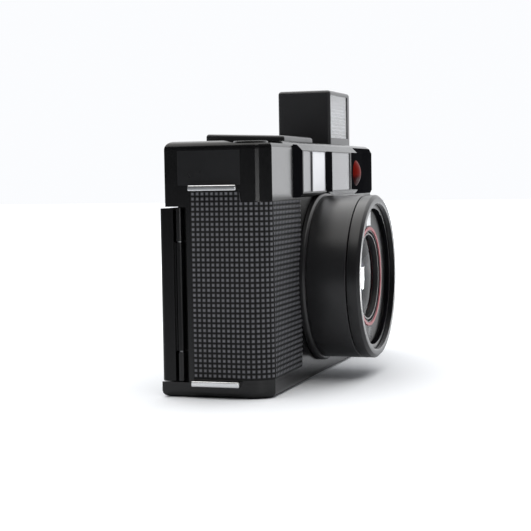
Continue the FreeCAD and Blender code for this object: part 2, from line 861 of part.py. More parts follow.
# Viewfinder hump: a low block on the top plate, a little higher at the back
hump_front = front_y + d.hump_front_depth
hump_back = front_y + d.hump_back_depth
hump_solid = wedge("hump_block", (hump_front, hump_back),
                   ((-d.hump_left, -d.hump_right), (d.body_height, d.body_height + d.hump_front_rise)),
                   ((-d.hump_left, -d.hump_right), (d.body_height, d.body_height + d.hump_back_rise)))
node("viewfinder_hump", softened("Chamfer", "hump", hump_solid, d.hump_bevel,
                                 lambda b: b.ZMin > number(d.body_height) + 0.01))

# Viewfinder tunnel with its lenses, and the eyepiece behind it
tunnel_x = (-d.finder_window_start - d.tunnel_wall, -d.finder_window_end + d.tunnel_wall)
tunnel_back = cover_back - wall
tunnel_block = box("tunnel_block", tunnel_x, (inner_front, tunnel_back),
                   (window_low - d.tunnel_wall, ceiling))
tunnel_bore = box("tunnel_bore", (-d.finder_window_start, -d.finder_window_end),
                  (inner_front - PAST, tunnel_back + PAST), (window_low, ceiling - d.tunnel_wall))
node("finder_tunnel", cut("tunnel", tunnel_block, tunnel_bore))
finder_lenses = []
for name, low in (("front", inner_front + PAST), ("rear", tunnel_back - PAST * 3)):
    finder_lenses.append(box("finder_lens_" + name, (-d.finder_window_start, -d.finder_window_end),
                             (low, low + d.pane_thick * 1.5), (window_low, ceiling - d.tunnel_wall)))
eye_pane = box("eyepiece_lens", (finder_mid - eye_half, finder_mid + eye_half),
               (cover_back - wall, cover_back), (eye_low, eye_high))
node("finder_lenses", group("finder_glass", *finder_lenses, eye_pane))
eye_frame = box("eyepiece_block", (finder_mid - eye_half - wall, finder_mid + eye_half + wall),
                (cover_back, cover_back + d.eyepiece_proud), (eye_low - wall, eye_high + wall))
eye_round = softened("Fillet", "eyepiece_round", eye_frame, d.eyepiece_proud / 2,
                     lambda b: abs(b.YMax - number(cover_back + d.eyepiece_proud)) < 0.01
                     and b.YLength < 0.01)
eye_bore = box("eyepiece_bore", (finder_mid - eye_half, finder_mid + eye_half),
               (cover_back - PAST, cover_back + d.eyepiece_proud + PAST), (eye_low, eye_high))
node("eyepiece", cut("eyepiece_frame", eye_round, eye_bore))

# Rangefinder module: a housing behind one window, and a mirror prism behind each
module_depth = d.module_depth
module_back = inner_front + module_depth
module_low = window_low - d.tunnel_wall
module_block = box("module_block", (tunnel_x[1], d.window_two_end + d.tunnel_wall),
                   (inner_front, module_back), (module_low, d.window_high))
module_bore = box("module_bore", (-d.window_two_start, d.window_two_end),
                  (inner_front - PAST, module_back - d.tunnel_wall), (window_low, d.window_high + PAST))
module_housing = cut("module_housing", module_block, module_bore)
right_prism = prism("right_mirror", [
    (d.window_two_end, module_back - d.tunnel_wall),
    (d.window_two_end - module_depth / 2, module_back - d.tunnel_wall),
    (d.window_two_end, module_back - d.tunnel_wall - module_depth / 2),
], (window_low, d.window_high))
left_prism = prism("left_mirror", [
    (tunnel_x[0], inner_front),
    (tunnel_x[0], module_back),
    (-d.window_one_start, module_back),
], (window_low, d.window_high))
node("rangefinder_module", group("rangefinder", join("module_joined", module_housing, right_prism),
                                 left_prism))

# Chassis: one casting with the film gate, both film chambers, the deck and the floor
spool_y = front_y + d.spool_depth
cassette_y = front_y + d.cassette_depth
deck_high = d.deck_low + d.deck_thick
floor_low = d.floor_high - d.floor_thick
chamber_outer = d.spool_chamber + d.chamber_wall
cassette_outer = d.cassette_radius + d.chamber_wall
frame_left = spool_x - chamber_outer
cassette_low = lens_z - d.cassette_tall / 2
cassette_high = lens_z + d.cassette_tall / 2
cassette_floor = cassette_low - d.chamber_wall
cassette_roof = cassette_high + d.chamber_wall
gate_front = film_y - d.gate_plate
shutter_back = inner_front + d.shutter_thick
gate_right = lens_x + d.gate_wide / 2
SPROCKET_SHARE = 0.37154
sprocket_x = gate_right + (frame_right - gate_right) * SPROCKET_SHARE
sprocket_y = film_y - d.sprocket_radius
tooth_rise = d.sprocket_tooth


def taper(name, wide, tall, front_half, y):
    """A tunnel that widens from a small square at the shutter to the film gate."""
    return wedge(name, y,
                 ((lens_x - front_half, lens_x + front_half), (lens_z - front_half, lens_z + front_half)),
                 ((lens_x - wide / 2, lens_x + wide / 2), (lens_z - tall / 2, lens_z + tall / 2)))


deck = box("deck", (frame_left, frame_right), (inner_front, film_y), (d.deck_low, deck_high))
floor = box("floor", (frame_left, frame_right), (inner_front, film_y), (floor_low, d.floor_high))
gate_wall = box("gate_wall", (frame_left, frame_right), (gate_front, film_y),
                (floor_low, deck_high))
spool_shell = rod("spool_shell", "Z", (spool_x, spool_y), (floor_low, deck_high), chamber_outer)
cassette_shell = rod("cassette_shell", "Z", (cassette_x, cassette_y),
                     (cassette_floor, cassette_roof), cassette_outer)
cassette_sides = box("cassette_sides", (cassette_x - cassette_outer, cassette_x + cassette_outer),
                     (cassette_y, film_y), (cassette_floor, cassette_roof))
tunnel_outer = taper("light_tunnel", d.gate_wide + d.gate_plate * 2, d.gate_tall + d.gate_plate * 2,
                     d.shutter_aperture + d.gate_plate, (shutter_back, film_y))
posts = []
for index, (across, up) in enumerate(((-1, -1), (1, -1), (-1, 1), (1, 1))):
    reach = shutter_radius * 0.875
    posts.append(rod("frame_post_" + str(index), "Y", (lens_x + reach * across, lens_z + reach * up),
                     (inner_front, film_y), d.axle_radius * 1.4))
legs = []
leg_bores = []
for index, (x, y) in enumerate(screw_spots):
    legs.append(rod("leg_" + str(index), "Z", (x, y), (wall, floor_low + d.floor_thick / 2),
                    d.screw_radius * 3))
    leg_bores.append(rod("leg_bore_" + str(index), "Z", (x, y), (0, d.floor_high - d.floor_thick / 2),
                         d.screw_radius + d.running_play))
bracket_low = deck_high + gap + d.gear_thick + gap + 0.2
bracket_high = bracket_low + d.bracket_thick
bracket_x = (counter_x - d.axle_radius * 2, frame_left + chamber_outer * 0.8)
bracket_front = button_y - d.axle_radius * 2.4
bracket_back = counter_y + d.axle_radius * 2
bracket = box("motor_bracket", bracket_x, (bracket_front, bracket_back), (bracket_low, bracket_high))
gear_reach = d.gear_module * (GEAR_TEETH / 2 + 1)
bracket_leg = box("motor_bracket_leg", (frame_left + gap, bracket_x[1]),
                  (bracket_front, spool_y - gear_reach - gap * 2), (deck_high, bracket_high))
flash_mid = (flash_left + flash_right) / 2
post_y = flash_back - d.flash_wall * 3
post_top = cassette_roof + d.flash_travel
flash_post = rod("flash_post", "Z", (flash_mid, post_y), (cassette_roof, post_top), d.post_radius)
counter_boss = rod("counter_boss", "Z", (counter_x, counter_y), (bracket_low, bracket_high + wall),
                   d.axle_radius * 1.7)
counter_bore = rod("counter_bore", "Z", (counter_x, counter_y),
                   (bracket_low - PAST, bracket_high + wall + PAST), d.axle_radius + d.running_play)
frame_solid = join("frame_joined", deck, floor, gate_wall, spool_shell, cassette_shell, cassette_sides,
                   tunnel_outer, bracket, bracket_leg, counter_boss, flash_post, *posts, *legs)
spool_room = rod("spool_room", "Z", (spool_x, spool_y), (d.floor_high, d.deck_low), d.spool_chamber)
spool_mouth = box("spool_mouth", (spool_x - d.spool_chamber * 0.75, spool_x + d.spool_chamber * 0.75),
                  (spool_y, film_y + PAST), (d.floor_high, d.deck_low))
cassette_room = rod("cassette_room", "Z", (cassette_x, cassette_y), (cassette_low, cassette_high),
                    d.cassette_radius)
cassette_mouth = box("cassette_mouth", (cassette_x - d.cassette_radius + gap,
                                        cassette_x + d.cassette_radius - gap),
                     (cassette_y, film_y + PAST), (cassette_low, cassette_high))
film_path = box("film_path", (frame_right - PAST, cassette_x), (film_y - PAST, film_y + PAST),
                (cassette_low, cassette_high))
tunnel_inner = taper("light_tunnel_bore", d.gate_wide, d.gate_tall, d.shutter_aperture,
                     (shutter_back - 0.01, film_y + 0.01))
behind_film = box("behind_film", (left_x, right_x), (film_y, back_y), (0, d.body_height - PAST * 5))
sprocket_room = rod("sprocket_room", "Z", (sprocket_x, sprocket_y), (d.floor_high, d.deck_low),
                    d.sprocket_radius + tooth_rise + gap)
shaft_bores = []
for name, x, y in (("spool", spool_x, spool_y), ("sprocket", sprocket_x, sprocket_y)):
    shaft_bores.append(rod(name + "_shaft_bore", "Z", (x, y), (floor_low - PAST, deck_high + PAST),
                           d.axle_radius + d.running_play))
fork_shaft = d.axle_radius * 1.5
fork_bore = rod("fork_bore", "Z", (cassette_x, cassette_y), (cassette_floor - PAST, cassette_low + PAST),
                fork_shaft + d.running_play)
pinion_reach = d.gear_module * (GEAR_TEETH + PINION_TEETH) / 2 + 0.1
motor_x = spool_x - pinion_reach
motor_bore = rod("motor_bore", "Z", (motor_x, spool_y), (deck_high, bracket_high + PAST),
                 d.motor_shaft_radius + d.running_play)
shutter_clear = rod("shutter_clear", "Y", (lens_x, lens_z), (inner_front - PAST, shutter_back),
                    shutter_radius + gap)
node("chassis", cut("chassis_solid", frame_solid, shutter_clear, spool_room, spool_mouth, cassette_room,
                    cassette_mouth, film_path, tunnel_inner, behind_film, sprocket_room, fork_bore,
                    motor_bore, counter_bore, *shaft_bores, *leg_bores))

# Flash head: a hollow box that rises through the top plate, with a flange that stops it
head_low = ceiling - gap - d.flash_flange_thick
head_inside_top = d.flash_top - d.flash_wall
head_block = box("head_block", (flash_left, flash_right), (flash_front, flash_back),
                 (head_low, d.flash_top))
head_round = softened("Fillet", "head_round", head_block, d.flash_round,
                      lambda b: upright(b) or level(d.flash_top)(b))
head_flange = box("head_flange", (flash_left - d.flash_flange, flash_right + d.flash_flange),
                  (flash_front - d.flash_flange, flash_back + d.flash_flange),
                  (head_low, ceiling - gap))
head_inside = box("head_inside", (flash_left + d.flash_wall, flash_right - d.flash_wall),
                  (flash_front + d.flash_wall, flash_back - d.flash_wall),
                  (head_low - PAST, head_inside_top))
pane_x = (flash_left + d.flash_window_left, flash_right - d.flash_window_right)
pane_z = (d.flash_window_low, d.flash_window_high)
head_opening = box("head_opening", pane_x, (flash_front - PAST, flash_front + d.flash_wall), pane_z)
spring_top = head_inside_top - d.flash_wall * 3
spring_boss = rod("spring_boss", "Z", (flash_mid, post_y), (spring_top, head_inside_top + 0.1),
                  d.post_radius + d.spring_wire + gap)
head_shell = cut("head_shell", join("head_joined", head_round, head_flange), head_inside, head_opening)
node("flash_head", join("head_solid", head_shell, spring_boss))
node("flash_window", box("flash_pane", pane_x, (flash_front + gap, flash_front + gap + d.pane_thick),
                         pane_z))

# Flash reflector: a block with a round trough, and the flash tube across it
trough_y = flash_front + d.flash_wall
trough_z = (d.flash_window_low + d.flash_window_high) / 2
trough_radius = (d.flash_window_high - d.flash_window_low) / 2 - gap
reflector_x = (flash_left + d.flash_wall, flash_right - d.flash_window_right)
trough_x = (reflector_x[0] + PAST, reflector_x[1] - PAST)
reflector_block = box("reflector_block", reflector_x, (trough_y, trough_y + trough_radius + PAST),
                      pane_z)
trough = rod("trough", "X", (trough_y, trough_z), trough_x, trough_radius)
node("flash_reflector", cut("reflector", reflector_block, trough))
node("flash_tube", rod("tube", "X", (trough_y + trough_radius * 0.6, trough_z), trough_x,
                       d.flash_tube_radius))


# Flash spring: round the guide post, from the chamber roof to the boss inside the head
node("flash_spring", sleeve("head_spring", "Z", (flash_mid, post_y), (cassette_roof, spring_top),
                            d.post_radius + gap + d.spring_wire, d.post_radius + gap))

# Flash capacitor and circuit board
capacitor_x = sprocket_x + d.capacitor_lead
capacitor_y = inner_front + d.capacitor_radius + wall / 2
node("flash_capacitor", rod("capacitor", "Z", (capacitor_x, capacitor_y),
                            (d.floor_high, d.floor_high + d.capacitor_tall), d.capacitor_radius))
board_top = deck_high + d.deck_thick
board_x = (spool_x + gear_reach + PAST * 2.5, frame_right - d.deck_thick * 4)
board_y = (inner_front + wall, film_y - PAST)
board = box("board", board_x, board_y, (deck_high, board_top))
board_long = board_x[1] - board_x[0]
chips = []
for index, (along, deep, share) in enumerate(((0.153, 0.384, 0.218), (0.498, 0.539, 0.164),
                                              (0.771, 0.229, 0.127))):
    x = board_x[0] + board_long * along
    y = board_y[0] + (board_y[1] - board_y[0]) * deep
    wide = board_long * share
    chips.append(box("chip_" + str(index), (x - wide / 2, x + wide / 2), (y - wide / 3, y + wide / 3),
                     (board_top, board_top + wall)))
node("circuit_board", group("board_and_chips", board, *chips))

# Lens mount: a bevelled flange on the front cover
mount_y = front_y - d.lens_flange_thick
barrel_inner = d.barrel_radius - d.barrel_wall
node("lens_flange", turned("mount_flange", "Y", (lens_x, lens_z), [
    (barrel_inner, mount_y),
    (lens_flange_radius - gap * 2, mount_y),
    (lens_flange_radius, mount_y + gap * 2),
    (lens_flange_radius, front_y),
    (barrel_inner, front_y),
]))

# Lens barrel: an outer tube and an inner sleeve on one web
lens_front = front_y - d.lens_reach
ring_face = lens_front + d.name_ring_recess
ring_back = ring_face + d.name_ring_thick
barrel_front = front_y - d.barrel_reach
spigot_front = barrel_front - d.ring_seat
web_front = mount_y - wall
sleeve_outer = barrel_bore + d.sleeve_wall
node("lens_barrel", turned("barrel", "Y", (lens_x, lens_z), [
    (barrel_bore, ring_back),
    (sleeve_outer, ring_back),
    (sleeve_outer, web_front),
    (barrel_inner, web_front),
    (barrel_inner, spigot_front),
    (spigot_radius, spigot_front),
    (spigot_radius, barrel_front),
    (d.barrel_radius, barrel_front),
    (d.barrel_radius, mount_y),
    (barrel_inner, mount_y),
    (barrel_inner, front_y),
    (barrel_bore, front_y),
]))

# Film speed ring: turns on the spigot of the barrel and carries the filter thread
thread_back = lens_front + d.thread_depth
lip_radius = name_ring_radius + gap
ring_bore = spigot_radius + d.running_play
node("film_speed_ring", turned("speed_ring", "Y", (lens_x, lens_z), [
    (thread_radius, lens_front),
    (d.barrel_radius - d.ring_bevel, lens_front),
    (d.barrel_radius, lens_front + d.ring_bevel),
    (d.barrel_radius, barrel_front - gap),
    (ring_bore, barrel_front - gap),
    (ring_bore, spigot_front - gap),
    (lip_radius, spigot_front - gap),
    (lip_radius, thread_back),
    (thread_radius, thread_back),
]))

# Name ring: a bare annular plate with a light window above and a speed window below
high_window = lens_z + name_ring_radius - d.ring_window_inset
low_window = lens_z - name_ring_radius + d.ring_window_inset
ring_windows = []
ring_holes = []
for name, z, wide, tall in (
        ("light_window", high_window, d.light_window_wide, d.light_window_tall),
        ("speed_window", low_window, d.speed_window_size, d.speed_window_size)):
    spans = ((lens_x - wide / 2, lens_x + wide / 2), (z - tall / 2, z + tall / 2))
    ring_holes.append(box(name + "_hole", spans[0], (ring_face - PAST, ring_back + PAST), spans[1]))
    ring_windows.append(box(name, spans[0], (ring_face, ring_back), spans[1]))
ring_plate = turned("ring_plate", "Y", (lens_x, lens_z), [
    (cell_radius + d.name_ring_clear, ring_face),
    (name_ring_radius, ring_face),
    (name_ring_radius, ring_back),
    (cell_radius + d.name_ring_clear, ring_back),
])
accent = sleeve("accent", "Y", (lens_x, lens_z), (ring_face - d.accent_thick, ring_face + d.accent_thick),
                cell_radius + d.accent_start + d.accent_wide, cell_radius + d.accent_start)
node("name_ring", join("name_ring_solid", cut("name_ring_plate", ring_plate, *ring_holes), accent))
node("ring_windows", group("ring_panes", *ring_windows))
node("light_cell", rod("meter_cell", "Y", (lens_x, high_window), (ring_back, ring_back + d.pane_thick * 3),
                       d.light_window_tall / 2))

# Focus cell: slides in the sleeve and holds the lens elements
cell_nose = ring_face + gap * 0.7
cell_tail = front_y + gap * 3
glass_edge = cell_nose + d.cell_wall
first_seat = glass_edge + d.pane_thick * 3
middle_front = cell_nose + (cell_tail - cell_nose) * 0.5
middle_back = middle_front + d.pane_thick * 3
bore_radius = cell_radius - d.cell_wall * 2.5
node("focus_cell", turned("cell", "Y", (lens_x, lens_z), [
    (front_lens_radius, cell_nose),
    (cell_radius, cell_nose),
    (cell_radius, cell_tail),
    (rear_lens_radius, cell_tail),
    (rear_lens_radius, middle_back),
    (middle_lens_radius, middle_back),
    (middle_lens_radius, middle_front),
    (bore_radius, middle_front),
    (bore_radius, first_seat),
    (front_lens_radius, first_seat),
]))
node("front_lens", turned("first_glass", "Y", (lens_x, lens_z), [
    (0, cell_nose, dome_radius(front_lens_radius, d.cell_wall)),
    (front_lens_radius, glass_edge),
    (front_lens_radius, first_seat),
    (0, first_seat),
]))
middle_glass = turned("middle_glass", "Y", (lens_x, lens_z), [
    (0, middle_front + d.pane_thick, -dome_radius(middle_lens_radius, d.pane_thick)),
    (middle_lens_radius, middle_front),
    (middle_lens_radius, middle_back),
    (0, middle_back),
])
rear_glass = turned("rear_glass", "Y", (lens_x, lens_z), [
    (0, middle_back + gap * 2),
    (rear_lens_radius, middle_back + gap * 2),
    (rear_lens_radius, cell_tail - d.pane_thick, dome_radius(rear_lens_radius, d.pane_thick * 0.8)),
    (0, cell_tail - d.pane_thick * 0.2),
])
node("inner_lenses", group("inner_glass", middle_glass, rear_glass))

# Leaf shutter: a round housing with two blades on one pin
blade_z = lens_z + shutter_radius - d.blade_pin_inset
room_front = inner_front + d.shutter_plate
room_back = shutter_back - d.shutter_plate
neck_radius = shutter_radius - d.shutter_plate * 2.5
shutter_shell = turned("shutter_shell", "Y", (lens_x, lens_z), [
    (cell_radius + gap, front_y),
    (neck_radius, front_y),
    (neck_radius, inner_front),
    (shutter_radius, inner_front),
    (shutter_radius, shutter_back),
    (d.shutter_aperture, shutter_back),
    (d.shutter_aperture, room_back),
    (shutter_radius - d.shutter_plate, room_back),
    (shutter_radius - d.shutter_plate, room_front),
    (d.shutter_aperture, room_front),
    (d.shutter_aperture, inner_front),
    (cell_radius + gap, inner_front),
])
blade_pin = rod("blade_pin", "Y", (lens_x, blade_z), (room_front - 0.2, room_back + 0.2),
                d.blade_pin_radius)
node("shutter_housing", join("shutter_solid", shutter_shell, blade_pin))
blade_step = (room_back - room_front - d.blade_thick * 2) / 3
for side, way, depth in (("left", -1, room_front + blade_step),
                         ("right", 1, room_back - blade_step - d.blade_thick)):
    name = "shutter_blade_" + side
    span = (depth, depth + d.blade_thick)
    disc = rod(name + "_disc", "Y", (lens_x, lens_z), span, d.blade_radius)
    edge_x = lens_x - d.blade_thick * way
    far_x = lens_x - d.blade_radius * 1.5 * way
    halved = cut(name + "_half", disc,
                 box(name + "_clear", (far_x, edge_x) if way > 0 else (edge_x, far_x),
                     (depth - PAST, depth + d.blade_thick + PAST),
                     (lens_z - d.blade_radius * 1.5, lens_z + d.blade_radius * 1.5)))
    arm_low = lens_z + d.blade_radius * 0.75
    arm_near = lens_x - d.blade_thick * way
    arm_far = lens_x + d.blade_pin_radius * 2 * way
    arm = box(name + "_arm", (arm_near, arm_far) if way > 0 else (arm_far, arm_near), span,
              (arm_low, blade_z))
    eye = rod(name + "_eye", "Y", (lens_x, blade_z), span, d.blade_pin_radius * 2)
    pivot = rod(name + "_pivot", "Y", (lens_x, blade_z), (depth - PAST, depth + d.blade_thick + PAST),
                d.blade_pin_radius + d.running_play)
    node(name, cut(name + "_solid", join(name + "_joined", halved, arm, eye), pivot))


def toothed(name, centre, z, teeth, root, tip, widths, first=0.0):
    """A round blank with straight-sided teeth. The first tooth points along first, in degrees."""
    parts = [rod(name + "_blank", "Z", centre, z, root)]
    for index in range(teeth):
        tooth = doc.addObject("Part::Wedge", name + "_tooth_" + str(index))
        spans = {
            "Xmin": -widths[0], "Xmax": widths[0], "X2min": -widths[1], "X2max": widths[1],
            "Zmin": 0, "Zmax": z[1] - z[0], "Z2min": 0, "Z2max": z[1] - z[0],
            "Ymin": root - widths[0], "Ymax": tip,
        }
        for side, size in spans.items():
            drive(tooth, side, as_size(size))
        turn = FreeCAD.Rotation(FreeCAD.Vector(0, 0, 1), first - 90 + 360.0 * index / teeth)
        place(tooth, centre[0], centre[1], z[0], turn)
        parts.append(made(tooth))
    return join(name, *parts)


# Take-up spool with its gear, and the motor with the pinion that turns it
spool_low = d.floor_high + gap
spool_high = d.deck_low - gap
gear_low = deck_high + gap
gear_high = gear_low + d.gear_thick
spool_core = turned("spool_core", "Z", (spool_x, spool_y), [
    (0, floor_low),
    (d.axle_radius, floor_low),
    (d.axle_radius, spool_low),
    (d.spool_radius, spool_low),
    (d.spool_radius, spool_high),
    (d.axle_radius, spool_high),
    (d.axle_radius, gear_high),
    (0, gear_high),
])
spool_slit = box("spool_slit", (spool_x - gap, spool_x + gap), (spool_y, spool_y + d.spool_radius + PAST),
                 (lens_z - d.gate_tall / 2, lens_z + d.gate_tall / 2))
node("take_up_spool", cut("spool", spool_core, spool_slit))
tooth_widths = (d.gear_module * 1.15, d.gear_module * 0.35)
gear_pitch = d.gear_module * GEAR_TEETH / 2
pinion_pitch = d.gear_module * PINION_TEETH / 2
gear_blank = toothed("gear", (spool_x, spool_y), (gear_low, gear_high), GEAR_TEETH,
                     gear_pitch - d.gear_module * 1.25, gear_pitch + d.gear_module, tooth_widths)
gear_hole = rod("gear_hole", "Z", (spool_x, spool_y), (gear_low - PAST, gear_high + PAST), d.axle_radius)
node("spool_gear", cut("gear_solid", gear_blank, gear_hole))
pinion_teeth = toothed("pinion", (motor_x, spool_y), (gear_low, gear_high), PINION_TEETH,
                       pinion_pitch - d.gear_module * 1.25, pinion_pitch + d.gear_module,
                       tooth_widths, 180.0 / PINION_TEETH)
motor_high = bracket_high + d.motor_tall
shaft_top = bracket_high + d.motor_tall / 3
pinion_shaft = rod("pinion_shaft", "Z", (motor_x, spool_y), (gear_low, shaft_top), d.motor_shaft_radius)
node("motor_pinion", join("pinion_solid", pinion_teeth, pinion_shaft))
motor_can = rod("motor_can", "Z", (motor_x, spool_y), (bracket_high, motor_high), d.motor_radius)
motor_hole = rod("motor_hole", "Z", (motor_x, spool_y), (bracket_high - PAST, shaft_top + gap),
                 d.motor_shaft_radius + d.running_play)
node("drive_motor", cut("motor", motor_can, motor_hole))

# Sprocket: two toothed drums on one shaft, at the edges of the film
drum_tall = d.drum_tall
drum_low = (spool_low, spool_low + drum_tall)
drum_high = (lens_z * 2 - drum_low[1], lens_z * 2 - drum_low[0])
sprocket_core = turned("sprocket_core", "Z", (sprocket_x, sprocket_y), [
    (0, floor_low),
    (d.axle_radius, floor_low),
    (d.axle_radius, drum_low[0]),
    (d.sprocket_radius, drum_low[0]),
    (d.sprocket_radius, drum_low[1]),
    (d.sprocket_radius / 2, drum_low[1]),
    (d.sprocket_radius / 2, drum_high[0]),
    (d.sprocket_radius, drum_high[0]),
    (d.sprocket_radius, drum_high[1]),
    (d.axle_radius, drum_high[1]),
    (d.axle_radius, deck_high - gap),
    (0, deck_high - gap),
])
tooth_rings = []
for name, low in (("low", drum_low[0]), ("high", drum_high[0])):
    tooth_rings.append(toothed("sprocket_" + name, (sprocket_x, sprocket_y),
                               (low + drum_tall / 3, low + drum_tall * 2 / 3), SPROCKET_TEETH,
                               d.sprocket_radius / 2, d.sprocket_radius + tooth_rise,
                               (tooth_rise * 2, tooth_rise / 2), 180.0 / SPROCKET_TEETH))
node("sprocket_shaft", join("sprocket", sprocket_core, *tooth_rings))

# Rewind fork: turns the film cassette from below
fork_room = cassette_floor - wall
fork_low = wall + fork_room * 4 / 15
fork_disc_high = wall + fork_room * 8 / 15
fork_plate = cassette_low + gap + wall / 2
fork_turned = turned("fork_turned", "Z", (cassette_x, cassette_y), [
    (0, fork_low),
    (d.fork_radius * 1.2, fork_low),
    (d.fork_radius * 1.2, fork_disc_high),
    (fork_shaft, fork_disc_high),
    (fork_shaft, cassette_low + gap),
    (d.fork_radius, cassette_low + gap),
    (d.fork_radius, fork_plate),
    (0, fork_plate),
])
fork_blade = box("fork_blade", (cassette_x - d.fork_radius * 0.8, cassette_x + d.fork_radius * 0.8),
                 (cassette_y - wall / 2, cassette_y + wall / 2), (fork_plate - 0.1, fork_plate + wall * 1.5))
node("rewind_fork", join("fork", fork_turned, fork_blade))

# Battery box: a roof and webs round two upright cells, with a contact spring above each
box_left = inner_left + gap * 5
box_right = cell_x + d.cell_slot_radius - gap / 3
box_back = door_inner - gap * 2
box_block = box("battery_block", (box_left, box_right), (inner_front + gap, box_back),
                (wall + gap * 2, d.battery_roof + d.battery_roof_thick))
box_limit = prism("battery_limit", plan(wall + gap / 2, box_back), (0, d.body_height))
cell_bores = []
cell_springs = []
for index, y in enumerate((cell_front, cell_back)):
    cell_bores.append(rod("cell_bore_" + str(index), "Z", (cell_x, y), (0, d.battery_roof),
                          d.cell_slot_radius))
    spring_wide = d.cell_slot_radius * 0.6
    spring_tip = d.cell_slot_radius * 0.3
    coil = cone("cell_coil_" + str(index), "Z", (cell_x, y), (d.cell_top, d.battery_roof),
                (spring_tip, spring_wide))
    hollow = cone("cell_coil_hollow_" + str(index), "Z", (cell_x, y), (d.cell_top, d.battery_roof),
                  (spring_tip - d.spring_wire, spring_wide - d.spring_wire))
    cell_springs.append(cut("cell_spring_" + str(index), coil, hollow))
node("battery_box", cut("battery_box_solid", common("battery_walls", box_block, box_limit), *cell_bores))
node("battery_springs", group("cell_springs", *cell_springs))

# Shutter button: a round cap on a stem, in the finger dish
flange_high = ceiling - gap
flange_low = flange_high - gap * 3
switch_top = bracket_high + d.slider_long + d.shell_wall
stem_low = switch_top - d.slider_wide
stem_radius = d.axle_radius
node("shutter_button", turned("button", "Z", (button_x, button_y), [
    (0, stem_low),
    (stem_radius, stem_low),
    (stem_radius, flange_low),
    (d.button_radius + gap * 2, flange_low),
    (d.button_radius + gap * 2, flange_high),
    (d.button_radius, flange_high),
    (d.button_radius, d.button_top - gap),
    (d.button_radius - gap, d.button_top),
    (0, d.button_top),
]))
node("button_spring", sleeve("button_coil", "Z", (button_x, button_y), (switch_top, flange_low),
                             stem_radius + gap + d.spring_wire, stem_radius + gap))
switch_block = box("switch_block", (button_x - d.slider_wide, button_x + d.slider_wide / 2),
                   (button_y - d.slider_wide, button_y + d.slider_wide), (bracket_high, switch_top))
switch_bore = rod("switch_bore", "Z", (button_x, button_y),
                  (stem_low - d.button_travel - gap, switch_top + PAST), stem_radius + d.running_play)
node("release_switch", cut("switch", switch_block, switch_bore))

# Frame counter: a disc on a shaft under its own small window
dial_high = ceiling - gap * 2
dial_low = dial_high - d.counter_thick
node("frame_counter_dial", turned("counter_dial", "Z", (counter_x, counter_y), [
    (0, bracket_low),
    (d.axle_radius, bracket_low),
    (d.axle_radius, dial_low),
    (d.counter_radius, dial_low),
    (d.counter_radius, dial_high),
    (0, dial_high),
]))
node("counter_window", rod("counter_pane", "Z", (counter_x, counter_y + counter_view),
                           (ceiling, d.body_height - gap), counter_pane_radius))


def slider(name, centre, knob, neck, keeper):
    """A slide switch: a knob outside the wall, a neck through its slot, a keeper inside."""
    x, y = centre
    half = d.slider_long / 2
    parts = [
        box(name + "_knob", (x - half, x + half), (y - d.slider_wide / 2, y + d.slider_wide / 2), knob),
        box(name + "_neck", (x - d.axle_radius, x + d.axle_radius),
            (y - d.axle_radius / 2, y + d.axle_radius / 2), neck),
        box(name + "_keeper", (x - half * 0.8, x + half * 0.8),
            (y - d.slider_wide / 2, y + d.slider_wide / 2), keeper),
    ]
    node(name, join(name + "_solid", *parts))


# Slide switches on the top plate, and the rewind switch in the base
knob_low = d.body_height + gap
for name, x in slider_spots:
    slider(name, (x, slider_y), (knob_low, knob_low + wall), (ceiling - PAST, knob_low + gap),
           (ceiling - gap - PAST, ceiling - gap))
boss_high = wall * 1.5
slider("rewind_switch", (rewind_x, rewind_y), (gap / 2, recess_depth - gap),
       (recess_depth - gap * 2, boss_high + gap * 2), (boss_high + gap, boss_high + gap + PAST))

# Door latch: a ribbed slide on the latch end, with a bar inside the wall
latch_knob = box("latch_knob", (right_x + gap, right_x + gap + wall),
                 (latch_y - d.axle_radius * 2, latch_y + d.axle_radius * 2), (latch_low, latch_high))
latch_ribs = []
for index in range(5):
    rib_z = latch_low + d.slider_long * 2 * (index + 1) / 6
    latch_ribs.append(box("latch_rib_" + str(index), (right_x + gap + wall, right_x + gap * 3 + wall),
                          (latch_y - d.axle_radius * 2, latch_y + d.axle_radius * 2),
                          (rib_z - gap, rib_z + gap)))
latch_neck = box("latch_neck", (inner_right - gap * 2, right_x + gap * 2),
                 (latch_y - d.axle_radius + gap, latch_y + d.axle_radius - gap),
                 (lens_z - d.slider_wide + gap, lens_z + d.slider_wide - gap))
bar_x = (inner_right - gap - PAST, inner_right - gap)
latch_bar = box("latch_bar", bar_x, (latch_y - d.axle_radius * 2, case_back - d.slider_wide),
                (latch_low - d.slider_wide, latch_high + d.slider_wide))
node("door_latch", join("latch", latch_knob, latch_neck, latch_bar, *latch_ribs))

# Back door: a shallow pan on the middle knuckle, with a catch on its free end
door_top = d.door_top
flange_wall = d.door_flange_wall
door_plate_box = box("door_plate", (left_x, right_x), (door_inner, back_y), (door_low, door_top))
door_round = softened("Fillet", "door_plate_round", door_plate_box, d.rear_corner,
                      lambda b: upright(b) and abs(b.YMax - number(back_y)) < 0.01)
door_ends = []
for end, low, high in (("hinge", left_x, left_x + flange_wall), ("catch", right_x - flange_wall, right_x)):
    door_ends.append(box(end + "_flange", (low, high), (flange_front, back_y - d.rear_corner),
                         (door_low, door_top)))
rail_left = box_right + wall
for which, low, high in (("low", door_low, door_low + flange_wall),
                         ("high", door_top - flange_wall, door_top)):
    door_ends.append(box(which + "_rail", (rail_left, right_x - flange_wall / 2),
                         (film_y + gap, door_inner + flange_wall / 2), (low, high)))
middle_low = d.low_knuckle_top + gap
middle_high = d.high_knuckle_low - gap
door_knuckle = rod("door_knuckle", "Z", (hinge_x, hinge_y), (middle_low, middle_high), d.hinge_radius)
knuckle_web = box("door_knuckle_web", (hinge_x - d.hinge_radius / 2, hinge_x + d.hinge_radius / 2),
                  (hinge_y, door_inner + PAST), (middle_low, middle_high))
